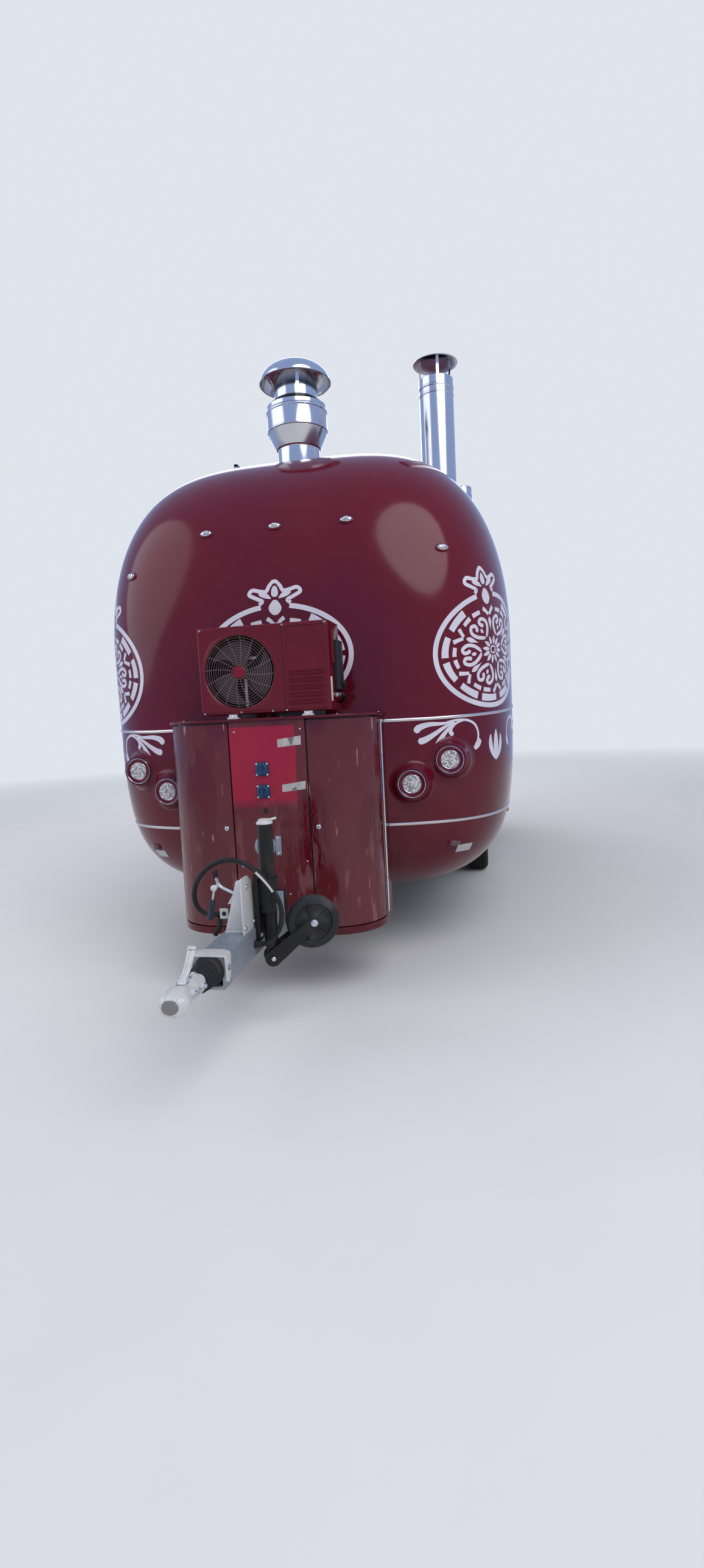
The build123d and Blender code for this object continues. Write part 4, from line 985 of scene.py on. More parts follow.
def belt_path(side, height):
    """Points once along one side, from the locker to the door frame, at heights set by the distance."""
    rows = COLUMNS[np.sign(COLUMNS[:, 0]) == side]
    z = np.full(len(rows), 1000.0)
    for _ in range(8):
        z = height(surface_point(*rows.T, z)[:, 1])
    points = surface_point(*rows.T, z)
    order = points[:, 1] + 0.2 * side * points[:, 0] * np.sign(LENGTH / 2 - points[:, 1])
    points = points[np.argsort(order)]
    wide = np.abs(points[:, 0])
    points = points[np.where(points[:, 1] < LENGTH / 2, wide > 520, wide > 400)]
    first = np.array([side * 517.0, 0, height(np.array([30.0]))[0]])
    first[1] = face_distance(517, first[2])
    last = np.array([side * 396.0, 0, height(np.array([LENGTH - 30.0]))[0]])
    last[1] = LENGTH - face_distance(396, last[2])
    return np.concatenate([[first], points, [last]])


@built("trim_strips", "pale_strip")
def belt_strips(piece):
    """Half-round metal strips on both belts."""
    section = np.concatenate([bead(8, 4.8, 7), [(-8, -3), (8, -3)]])
    for side in (-1, 1):
        for height in (belt_height, lambda s: np.full(np.shape(s), 759.0)):
            path = belt_path(side, height)
            carried(piece, strip_metal, path, section, body_normal(path))


# Lamps

def lamp_pod(piece, x, z, towards):
    """Flared pod: its depth runs from the lamp's face to the body by 1 - (1 - v) ^ 2.5."""
    centre = face_distance(x, z)
    face = centre - 46
    angle = once_round(72)[None]
    v = np.linspace(0, 1, 12)[:, None]
    r = 80 + 44 * v
    body = face_distance(x + r * np.cos(angle), z + r * np.sin(angle))
    flare = face + (body - face) * (1 - (1 - v) ** 2.5)
    flare[-1] += 10
    rim_r = np.array([0.0, 70.5, 70.5, 71.5, 78.0])[:, None]
    rim_s = np.array([14.0, 14.0, 1.5, 0.2, 0.2])[:, None]
    radius = np.concatenate([rim_r, r, [[0]]]) + 0 * angle
    depth = np.concatenate([face + rim_s + 0 * angle, flare, np.full_like(angle, centre + 24)])
    depth[5] += 2
    if towards > 0:
        depth = LENGTH - depth
    piece.grid(np.stack([x + radius * np.cos(angle), depth, z + radius * np.sin(angle)], -1), maroon,
        round_v=True)
    return LENGTH - face if towards > 0 else face


def round_lamp(piece, x, z, towards, lens):
    """Lamp in its pod: bright ring, dished painted ring and a lens of small domes."""
    face = lamp_pod(piece, x, z, towards)
    out = (0, towards, 0)
    at = (x, face, z)
    radius = np.linspace(0, 44, 12)
    dome = np.stack([radius, 2.5 + 3.6 * (1 - (radius / 44) ** 2)], 1)[::-1]
    for finish, count, profile in (
            (dark_plastic, 64, [(0, -12), (69, -12), (69, 1), (66, 1), (65, -3), (0, -3)]),
            (lens_chrome, 72, [(69, 2.5), (69, 5.5), (67.8, 6.8), (66, 6.8), (64.6, 5.4), (64.6, 2.5)]),
            (maroon, 72, [(64.4, 2.5), (64.4, 5.2), (62, 6.3), (58.5, 4.6), (51, 0.9), (47, 1.4), (47, -2)]),
            (lens_chrome, 64, [(46.8, 0), (46.8, 3), (45.6, 4), (44, 3), (44, 0)]),
            (lens, 64, [(0, -2), (44, -2), *dome])):
        lathe(piece, finish, profile, at, out, count)
    dot = [(0, 4), (2.4, 3.6), (4.3, 2.4), (5, 0), (0, -0.5)]
    for ring, number in ((9.5, 4), (22, 9), (35, 14)):
        lift = 2.4 + 3.6 * (1 - (ring / 44) ** 2)
        for a in np.arange(number) * 2 * pi / number + ring:
            lathe(piece, lens, dot, (x + ring * cos(a), face + towards * (lift - 1), z + ring * sin(a)), out,
                10)


@built("front_lamps", "clear_lens", sharp=40)
def front_lamp_pods(piece):
    """Two round lamps each side of the front."""
    for x, z in ((834, 1077), (646, 968)):
        for side in (-1, 1):
            round_lamp(piece, side * x, z, -1, lens_clear)


@built("rear_lamps", "red_lens", sharp=40)
def rear_lamp_pods(piece):
    """Two round lamps each side of the rear, amber over red, and the blank plate holder."""
    for z, lens in ((1130, lens_amber), (880, lens_red)):
        for side in (-1, 1):
            round_lamp(piece, side * 690, z, 1, lens)
    y = LENGTH - face_distance(480, 700) - 14
    block(piece, dark_plastic, (480, LENGTH - face_distance(640, 640) - 88, 580), (800, y + 18, 700), 6)
    block(piece, white_plastic, (488, y + 17, 588), (792, y + 21, 692), 2)
    for x in (520, 760):
        block(piece, dark_plastic, (x - 16, y + 12, 690), (x + 16, y + 25, 700), 3)
    for x in (560, 720):
        screw(piece, stainless, (x, y + 20.5, 640), REAR, 3, 2.5)


def oval(piece, finish, centre, out, along, half, rise, profile, count=40):
    """Oval boss: a profile of (share of the half sizes, height) carried round an ellipse."""
    out, along = direction(out), direction(along)
    across = np.cross(out, along)
    angle = once_round(count)
    profile = np.asarray(profile, float)
    ring = (np.cos(angle)[:, None] * along * half)[:, None] * profile[None, :, :1]
    ring = ring + (np.sin(angle)[:, None] * across * rise)[:, None] * profile[None, :, :1]
    piece.grid(np.asarray(centre, float) + ring + profile[None, :, 1:] * out, finish, round_u=True)


@built("marker_lamps", "marker_lens", sharp=40)
def markers(piece):
    """Small oval lamps: a painted bezel, a chrome seat and a domed lens."""
    for x, z in ((0, 2284), (367, 2281), (-367, 2281), (828, 2117), (-828, 2117), (832, 636), (-832, 636)):
        at = np.array([x, face_distance(x, z), z])
        out = body_normal(at)
        low = z < 1000
        along = direction(np.cross(out, UP) * (1, 1, 0))
        oval(piece, maroon, at, out, along, 39, 22, [(0, -6), (1, -6), (1, 0), (0.97, 4), (0.86, 7),
            (0.78, 7.5), (0, 7.5)])
        oval(piece, lens_dark if low else lens_chrome, at, out, along, 30, 16, [(0, 5), (1, 5), (1, 9),
            (0.94, 12), (0.70, 15.5), (0.4, 17.5), (0, 18)])
        oval(piece, lens_dark if low else lens_clear, at, out, along, 14, 10, [(0, 14), (1, 14), (1, 17.5),
            (0.7, 19.5), (0, 20)])
    for s, z in ((1000, 690), (1700, 690), (3900, 1000)):
        for side in (-1, 1):
            full = 1 - max(1 - s / CAP, 0) ** NOSE_POWER
            x = side * HALF_WIDTH * (share(z) * full) ** (1 / SIDE_POWER)
            at = np.array([x, s, z])
            out = (side, 0, 0)
            oval(piece, dark_plastic, at, out, REAR, 34, 17, [(0, -20), (1, -20), (1, 5), (0.92, 7), (0, 7)])
            oval(piece, lens_amber, at, out, REAR, 28, 13, [(0, 5), (1, 5), (0.96, 11), (0.7, 15), (0, 17)])
    for a in (-830, 917):
        edge = np.linspace(-1, 1, 9)
        patch = on_body(a + 50 * edge[None, :], 597 + 20 * edge[:, None], 2.6, 600)
        piece.thick(patch, body_normal(patch), 4, lens_white)


# Cut-film ornament

def ribbon(piece, path, width, level, across=5):
    """Film strip along a path of (arc length, height), half the width to each side."""
    path = np.asarray(path, float)
    ahead = direction(np.gradient(path, axis=0))
    side = np.stack([-ahead[:, 1], ahead[:, 0]], 1)
    width = np.broadcast_to(np.asarray(width, float), len(path))[:, None, None]
    share_over = np.linspace(0.5, -0.5, across)[None, :, None]
    flat = path[:, None] + side[:, None] * width * share_over
    flat = np.concatenate([flat, flat[:, ::-1]], 1)
    lift = np.concatenate([np.full(across, 1.4), np.full(across, -1.0)])
    piece.grid(on_body(flat[..., 0], flat[..., 1], np.broadcast_to(lift, flat.shape[:2]), level), vinyl,
        round_v=True, ends=True)


def petal_width(count, widest, power=0.8, lean=0.5):
    """Width along a petal: sine of the share to a power, widest where it leans."""
    t = np.linspace(0.015, 0.985, count)
    t = t ** (log(0.5) / log(lean))
    return widest * np.sin(pi * t) ** power


HEART = ((0.27, 0.012), (0.32, 0.075), (0.40, 0.140), (0.50, 0.165), (0.580, 0.115), (0.560, 0.048),
    (0.490, 0.054), (0.470, 0.088))
CREST = ((0, 1.42), (0.07, 1.34), (0.115, 1.24), (0.20, 1.25), (0.30, 1.28), (0.345, 1.20), (0.25, 1.12),
    (0.17, 1.06), (0.21, 1.00))


def medallion(piece, arc, height, half_arc, half_height, level, tilt):
    """Round folk medallion: a ring, six curled hearts round a small sun, two rows of blocks outside them, a
    chevron and a kite between each two, and a crest on top. Everything lies by (share of radius, angle)."""
    turn = radians(tilt)

    def placed(points):
        x, z = (np.asarray(points, float) * (half_arc, half_height)).T
        return np.stack([arc + x * cos(turn) - z * sin(turn), height + x * sin(turn) + z * cos(turn)], 1)

    def polar(radius, angle):
        radius, angle = np.broadcast_arrays(np.asarray(radius, float), np.asarray(angle, float))
        return np.stack([radius * np.sin(angle), radius * np.cos(angle)], 1)

    def film(points, width):
        ribbon(piece, placed(points), width, level, 3)

    gap = 0.20
    film(polar(0.965, np.linspace(gap, 2 * pi - gap, 150)), 25)
    t = np.linspace(0, 1, 9)
    curl = smooth_path(HEART, 6)
    width = np.interp(np.linspace(0, 1, len(curl)), [0, 0.1, 0.8, 0.93, 1], [9, 18, 18, 22, 11])
    for k in range(6):
        base = radians(30 + 60 * k)
        for mirror in (-1, 1):
            film(polar(np.hypot(curl[:, 0], curl[:, 1]), base + np.arctan2(curl[:, 1] * mirror, curl[:, 0])),
                width)
            if (k, mirror) not in ((0, -1), (5, 1)):
                film(polar(0.840 - 0.010 * t, base + mirror * (0.050 + 0.40 * t)), 38 - 6 * t)
            film(polar(0.712 - 0.010 * t, base + mirror * (0.040 + 0.21 * t)), 23 - 3 * t)
            film(polar(0.615 + 0.125 * t, base + pi / 6 - mirror * (0.022 + 0.135 * t)), 16 + 5 * t)
        film(polar(0.365 + 0.085 * t, base), petal_width(9, 19, 0.9, 0.5))
        film(polar(0.340 + 0.230 * t, base + pi / 6), petal_width(9, 25, 0.9, 0.68))
    for k in range(12):
        film(polar(0.095 + 0.150 * t, k * pi / 6 + 0.26), petal_width(9, 20, 0.9, 0.42))
    film(polar(0.060, np.linspace(0, 2 * pi, 21)), 8)
    crest = np.array([*[(-x, y) for x, y in CREST[::-1]], *CREST[1:]])
    film(smooth_path(crest, 7), 19)
    film(np.stack([np.zeros(15), np.linspace(1.13, 1.335, 15)], 1), petal_width(15, 36, 0.8, 0.38))
    film(np.stack([np.zeros(15), np.linspace(0.79, 1.07, 15)], 1), petal_width(15, 66, 0.7, 0.45))
    for mirror in (-1, 1):
        leaf = smooth_path([(0.050 * mirror, 1.10), (0.13 * mirror, 1.165), (0.22 * mirror, 1.200)], 5)
        film(leaf, petal_width(len(leaf), 26, 0.7, 0.55))


FLOURISH = ((((1400, 812), (1352, 817), (1305, 818), (1268, 830), (1256, 850)), (5, 12, 18, 26, 27)),
    (((1400, 812), (1362, 832), (1325, 858), (1290, 880), (1264, 888)), (5, 12, 18, 25, 27)),
    (((1402, 814), (1378, 838), (1356, 866), (1340, 894), (1334, 916)), (5, 12, 18, 24, 25)),
    (((1368, 812), (1408, 806), (1452, 808), (1486, 826), (1502, 858), (1502, 892), (1488, 914)),
    (5, 9, 10, 10, 9, 9, 5)), (((1446, 807), (1412, 816), (1390, 834), (1384, 854), (1394, 868)),
    (4, 8, 12, 17, 18)), (((1504, 888), (1512, 902), (1500, 918), (1482, 930)), (5, 13, 20, 20)))


def flourish(piece, shift, sense):
    """Curled leaves that fan out of one point, with a long tail that ends in a bud."""
    for points, widths in FLOURISH:
        x, y = np.array(points, float).T
        flat = np.stack([sense * (664 + (x - 1250) * 1.404) + shift, 1276 - (y - 800) * 1.193], 1)
        path = smooth_path(flat, 14)
        width = np.interp(np.linspace(0, 1, len(path)), np.linspace(0, 1, len(widths)), widths) * 1.25
        way = lengths_along(path)
        near = np.minimum(np.minimum(way, way[-1] - way) / (width / 2), 1)
        ribbon(piece, path, width * np.sqrt(np.maximum(1 - (1 - near) ** 2, 0.01)), 1150)


def tulip(piece, sense, centre):
    """Three petals from one foot."""
    for reach, lean, top, widest in ((0, 0, 1209, 46), (-52, -1, 1186, 34), (52, 1, 1186, 34)):
        t = np.linspace(0, 1, 17)
        a = centre + reach * np.sin(t * pi * 0.5) ** 0.8 + lean * 10 * np.sin(t * pi)
        ribbon(piece, np.stack([sense * a, 1051 + (top - 1051) * t], 1), petal_width(17, widest, 0.75, 0.5),
            1150)


@built("", "pale_strip", sharp=60)
def film_ornament(piece):
    """Pale cut film on the front and round its corners."""
    medallion(piece, 0, 1627, 388, 264, 1630, 0)
    for side in (-1, 1):
        medallion(piece, side * 1171, 1622, 400, 292, 1630, side * 10)
        flourish(piece, 0, side)
        flourish(piece, side * 2360, -side)
        tulip(piece, side, 1174)


# Front locker: its round corners end at this distance, where the doors' hinges stand

CORNER_END = -112


def arc_through(a, b, c, steps):
    """Points of the circle through three places: its centre is where the middle lines cross."""
    a, b, c = (np.asarray(p, float) for p in (a, b, c))
    rows = np.array([b - a, c - b]) * 2
    centre = np.linalg.solve(rows, np.array([b @ b - a @ a, c @ c - b @ b]))
    start, end = (atan2(*(p - centre)[::-1]) for p in (a, c))
    angle = np.linspace(start, end, steps)
    return centre + np.linalg.norm(a - centre) * on_circle(angle)


def locker_line(inset, start, end, steps=16):
    """Part of the locker's plan between two widths; past the half width it counts on along the side."""
    half, top = 516 - inset, LOCKER_FRONT + inset
    bend = (half - (half - 300) * 0.27, CORNER_END - (CORNER_END - top) * 0.66)
    road = np.concatenate([[(0, top), (100, top), (200, top)], arc_through((300, top), bend,
        (half, CORNER_END), steps), [(half, -70), (half, -20), (half, 45)]])
    line = np.concatenate([(road * (-1, 1))[::-1], road[1:]])
    reach = line[:, 0] + np.sign(line[:, 0]) * np.maximum(line[:, 1] - CORNER_END, 0)
    inside = (reach > start + 0.5) & (reach < end - 0.5)
    ends = [(np.interp(v, reach, line[:, 0]), np.interp(v, reach, line[:, 1])) for v in (start, end)]
    return np.array([ends[0], *line[inside], ends[1]])


def standing_sheet(piece, finish, line, low, high, depth, rows=2, inner=None):
    """Sheet that stands on a plan line, with its thickness inwards."""
    way = direction(np.gradient(line, axis=0))
    out = np.stack([way[:, 1], -way[:, 0]], 1)
    z = np.linspace(low, high, rows)[:, None]
    points = places(line[None, :, 0], line[None, :, 1], z)
    normals = places(out[None, :, 0], out[None, :, 1], 0 * z)
    piece.thick(points, normals, depth, finish, inner)


def film_over_paint(name, colour, deep, patchy, painted_reflection=None):
    """Gel coat under wrinkled film: upright creases, brownish dull patches with sharp edges, pale upright
    streaks of painted highlight, and, when asked for, a bright red area of painted reflection."""
    f = Finish(name)
    x, _, z = f.split()
    creases = f.noise(7.0, 4.0, f.stretched((2.2, 2.2, 0.5)))
    patch = f.between(f.cells(3.4, f.stretched((1.6, 1.0, 0.55), (0.0, 0.15, 0.0))), 0.40, 0.47)
    edge = f.between(f.noise(11.0, 6.0, f.stretched((1.6, 1.6, 0.45))), 0.60, 0.66)
    highlight_streaks = f.between(f.noise(34.0, 2.0, f.stretched((1.0, 1.0, 0.14), (0.0, 0.5, 0.0))), 0.690, 0.730)
    dusty = f.between(f.noise(16.0, 6.0), 0.50, 0.80)
    low = f.between(z, 0.36, 0.95, 1.0, 0.2)
    shade = f.mix(f.between(f.noise(2.2, 3.0), 0.35, 0.65), colour, deep)
    shade = f.mix(patch * patchy, shade, (0.140, 0.026, 0.025))
    shade = f.mix(edge * 0.45 * low, shade, (0.30, 0.13, 0.12))
    # Pale upright streaks are painted highlights, where light would catch the film's creases.
    shade = f.mix(highlight_streaks * 0.60, shade, (0.52, 0.34, 0.35))
    # Painted reflection: a bright red area over the panel's upper middle, with a wavy edge, stands in for
    # light off the flat film.
    if painted_reflection:
        reflection_wobble = f.noise(9.0, 4.0) * 0.03
        across = f.between(x + reflection_wobble, 0.168, 0.174, 1.0, 0.0)
        above = f.between(z + reflection_wobble, 0.925, 0.975)
        shade = f.mix(across * above * f.between(z, 1.288, 1.292, 1.0, 0.0), shade, painted_reflection)
    gloss = 0.09 + patch * 0.14 + edge * 0.20 + dusty * 0.10
    relief = creases * 0.7 + edge * 0.05
    return f.surface(Base_Color=shade, Roughness=gloss, Specular_IOR_Level=0.40, Coat_Weight=0.15,
        Coat_Roughness=0.04, Normal=f.bump(relief, 0.016, 0.65))


locker_film = film_over_paint("locker film", (0.098, 0.0045, 0.0110), (0.070, 0.0035, 0.0090), 0.34)
# The centre panel's film is a lighter copy of the doors' film, and its upper middle is painted bright red:
# both are painted reflection.
lit_centre_film = film_over_paint("centre panel film", (0.115, 0.0050, 0.0120), (0.082, 0.0040, 0.0100), 0.34,
    (0.300, 0.0035, 0.024))


def locker_barrel(piece, side, low, high, radius=5.6, count=20, soft=0.6):
    """Part of the hinge barrel of a locker door."""
    across = side * 519
    bar(piece, hinge_metal, (across, CORNER_END, low), (across, CORNER_END, high), radius, count, soft)


def locker_door(side):
    """Curved door from the seam round the corner to its hinge barrel, with a lock and a folded edge."""
    word = "road" if side > 0 else "kerb"
    piece = Piece(f"locker_{word}_panel")
    seam = 214 if side > 0 else -162
    line = locker_line(0, *sorted((seam, side * 512.5)), steps=22)
    standing_sheet(piece, locker_film, line, 351, 1309.5, 18, 20, locker_maroon)
    standing_sheet(piece, locker_film, locker_line(-0.5, *sorted((side * 486, side * 512)), steps=22), 352,
        1309, 3, 12)
    locker_barrel(piece, side, 529, 1127)
    for low in np.arange(529, 1127, 74.6):
        lathe(piece, dark_plastic, disc(5.75, -0.6, 0.6), (side * 519, CORNER_END, low), count=20)
    edge = seam + side * 34
    lathe(piece, stainless, [(0, -2), (11, -2), (11, 2), (9, 3.5), (0, 3.5)], (edge, LOCKER_FRONT, 820),
        FRONT, 28)
    block(piece, dark_plastic, (edge - 1.2, -349.4, 815), (edge + 1.2, -347, 825), 0.5)
    door = f"locker_{word}_door"
    piece.make(door, "locker_paint", door, outward=False, bevel=1.2)


locker_door(-1)
locker_door(1)


def flap_socket(piece, x, z):
    """Blue inlet: square flange, four screws, domed spring lid with a thumb lug and a hinge."""
    block(piece, cap_blue, (x - 31, LOCKER_FRONT - 7, z - 31), (x + 31, LOCKER_FRONT + 4, z + 31), 5)
    lathe(piece, cap_blue, [(0, 0), (29, 0), (29, 9), (26.5, 12.5), (22, 14.5), (17, 13), (15, 10.5),
        (0, 10.5)], (x, LOCKER_FRONT - 6, z), FRONT, 48, radius=0.8)
    block(piece, cap_blue, (x - 5, LOCKER_FRONT - 25, z - 24), (x + 5, LOCKER_FRONT - 15, z + 25), 4)
    block(piece, cap_blue, (x - 16, LOCKER_FRONT - 17, z + 24), (x + 16, LOCKER_FRONT - 5, z + 33), 3)
    bar(piece, dark_plastic, (x - 17, LOCKER_FRONT - 12, z + 28), (x + 17, LOCKER_FRONT - 12, z + 28),
        2.2, 12)
    for dx in (-25, 25):
        for dz in (-25, 25):
            lathe(piece, white_plastic, [(0, 0), (4.6, 0), (4.6, 1.6), (3.6, 2.8), (0, 3)],
                (x + dx, LOCKER_FRONT - 6.5, z + dz), FRONT, 16)


def tape_with_shadow(piece, corners, shadow_wedge):
    """Strip of tape: four corners with a bowed surface, and a grey wedge painted on it as a shadow."""
    c = np.asarray(corners, float)
    u = np.linspace(0, 1, 17)[None, :, None]
    v = np.linspace(0, 1, 7)[:, None, None]
    flat = (c[0] * (1 - u) + c[1] * u) * (1 - v) + (c[3] * (1 - u) + c[2] * u) * v
    lift = 1 + 0.5 * np.sin(u * 19 + v * 4) * np.sin(pi * v)
    shape = np.broadcast_shapes(flat.shape, lift.shape)
    flat, lift = np.broadcast_to(flat, shape), np.broadcast_to(lift, (*shape[:2], 1))
    points = np.concatenate([flat[..., :1], LOCKER_FRONT - lift, flat[..., 1:]], -1)
    piece.thick(points, FRONT, 2, tape_grey)
    # Painted shadow: a grey wedge laid on the tape.
    plate(piece, tape_shadow, shadow_wedge, -347.3, -346.2)


@built("locker_centre_panel", "locker_paint", outward=False, bevel=0.8)
def locker_middle(piece):
    """Fixed panel, its film painted lighter and with a bright red painted reflection on its upper middle,
    with two blue inlets, a lock, a flanged ring and two strips of tape.
    """
    for low, high, ends in ((488, 1315.5, (-155, 207)), (311, 488, (-155, -69)), (311, 488, (69, 207))):
        part = np.stack([np.linspace(*ends, 14), np.full(14, LOCKER_FRONT)], 1)
        standing_sheet(piece, lit_centre_film, part, low, high, 17.9, 16 if high > 1000 else 4, locker_maroon)
    for z in (1094, 990):
        flap_socket(piece, -4, z)
    lathe(piece, dark_plastic, [(0, 0), (12, 0), (12, 2), (10, 4), (5, 4), (5, 1), (0, 1)], (0, LOCKER_FRONT,
        899), FRONT, 28)
    block(piece, dark_plastic, (-5, -352, 903), (8, -346, 915), 3)
    lathe(piece, galvanised, [(30, 0), (52, 0), (52, 3), (44, 6), (36, 7), (34, 20), (30, 20)],
        (-12, LOCKER_FRONT, 734), FRONT, 56)
    block(piece, galvanised, (38, -351, 690), (66, LOCKER_FRONT, 782), 4)
    lathe(piece, dark_plastic, disc(31, 0, 5), (-12, LOCKER_FRONT, 734), FRONT, 40)
    for z in (700, 772):
        screw(piece, stainless, (52, -351, z), FRONT, 4, 3)
    tape_with_shadow(piece, [(76, 1191), (186, 1200), (187, 1241), (75, 1228)], [(124, 1234), (156, 1237),
        (141, 1199)])
    tape_with_shadow(piece, [(86, 985), (196, 996), (199, 1034), (86, 1019)], [(128, 992), (158, 995), (146, 1010)])
    for edge, sense in ((-155, -0.8), (207, 0.8)):
        x0, x1 = sorted((edge + sense, edge + sense * 4))
        block(piece, duct_dark, (x0, -341, 345), (x1, -330, 1310), 0.4, 1)
    for x, z in ((-62, 520), (95, 505), (-128, 640), (186, 660), (-130, 1270), (185, 1272)):
        lathe(piece, stainless, [(0, 0), (5, 0), (4.4, 1.8), (2, 2.6), (0, 2.6)], (x, LOCKER_FRONT, z),
            FRONT, 16)


@built("locker_cabinet", "locker_paint", outward=False, bevel=0.8)
def locker_case(piece):
    """Fixed parts: low band and floor, side walls, rim, centre post and the fixed hinge barrels."""
    for ends in ((-514, -155.5), (207.5, 514)):
        standing_sheet(piece, locker_maroon, locker_line(0, *ends, steps=22), 311, 344, 18, 4)
    for side in (-1, 1):
        ends = sorted((side * 514, side * 673))
        standing_sheet(piece, locker_maroon, locker_line(0, *ends, steps=22), 311, 1316, 18, 12)
        inner = locker_line(4, *sorted((side * 69, side * 665)), steps=22)
        back = np.array([(side * 510.0, 44.0), (side * 69.0, 44.0)])
        outline = np.concatenate([inner[::side], back])
        plate(piece, locker_maroon, outline, 312, 329, "z")
        for low, high in ((360, 528), (1128, 1296)):
            locker_barrel(piece, side, low, high)
        locker_barrel(piece, side, 361, 1295, 2.6, 12, 0.5)
    standing_sheet(piece, locker_maroon, locker_line(24.5, -640, 640, steps=22), 1290, 1315.7, 24, 2)
    block(piece, locker_maroon, (-135, -326.5, 496), (187, -296, 1315.5), 3)


def slab(piece, finish, outline, low, high, radius=2, axes="z", origin=(0, 0, 0), steps=3):
    """Flat outline with rounded edges: rows shrink by radius * (1 - cos) towards both faces."""
    outline = np.asarray(outline, float)
    way = direction(np.roll(outline, -1, 0) - np.roll(outline, 1, 0))
    area = (outline[:, 0] * np.roll(outline[:, 1], -1) - np.roll(outline[:, 0], -1) * outline[:, 1]).sum()
    out = np.stack([way[:, 1], -way[:, 0]], 1) * np.sign(area)
    a = np.linspace(0, pi / 2, steps + 1)
    shrink = radius * (1 - np.sin(a))
    level = np.concatenate([low + radius * (1 - np.cos(a)), high - radius * (1 - np.cos(a[::-1]))])
    flat = outline[None] - out[None] * np.concatenate([shrink, shrink[::-1]])[:, None, None]
    points = np.concatenate([flat, np.broadcast_to(level[:, None, None], (*flat.shape[:2], 1))], -1)
    bases = {"z": np.eye(3), "y": np.eye(3)[[0, 2, 1]], "x": np.eye(3)[[1, 2, 0]]}
    basis = bases[axes] if isinstance(axes, str) else np.asarray(axes, float)
    piece.grid(points @ basis + np.asarray(origin, float), finish, round_v=True, ends=True)


@built("locker_top", "locker_paint", sharp=40)
def locker_lid(piece):
    """Top plate that stands out a little all round, with rounded edges and the conditioner's foot straps."""
    line = locker_line(-14, -662, 662, 22)
    slab(piece, locker_maroon, line, 1316.2, 1330, 4.5)
    for x in (-130, 226):
        block(piece, white_zinc, (x - 27, -346, 1329), (x + 27, -316, 1334), 2)
    for x in (-500, -250, 20, 300, 505):
        screw(piece, stainless, (x, -60, 1330), UP, 4, 2.5)


# Air conditioner

CASE = ((-287, 333), (-327, -97), (1350, 1752))
FAN = (-92, 1543)


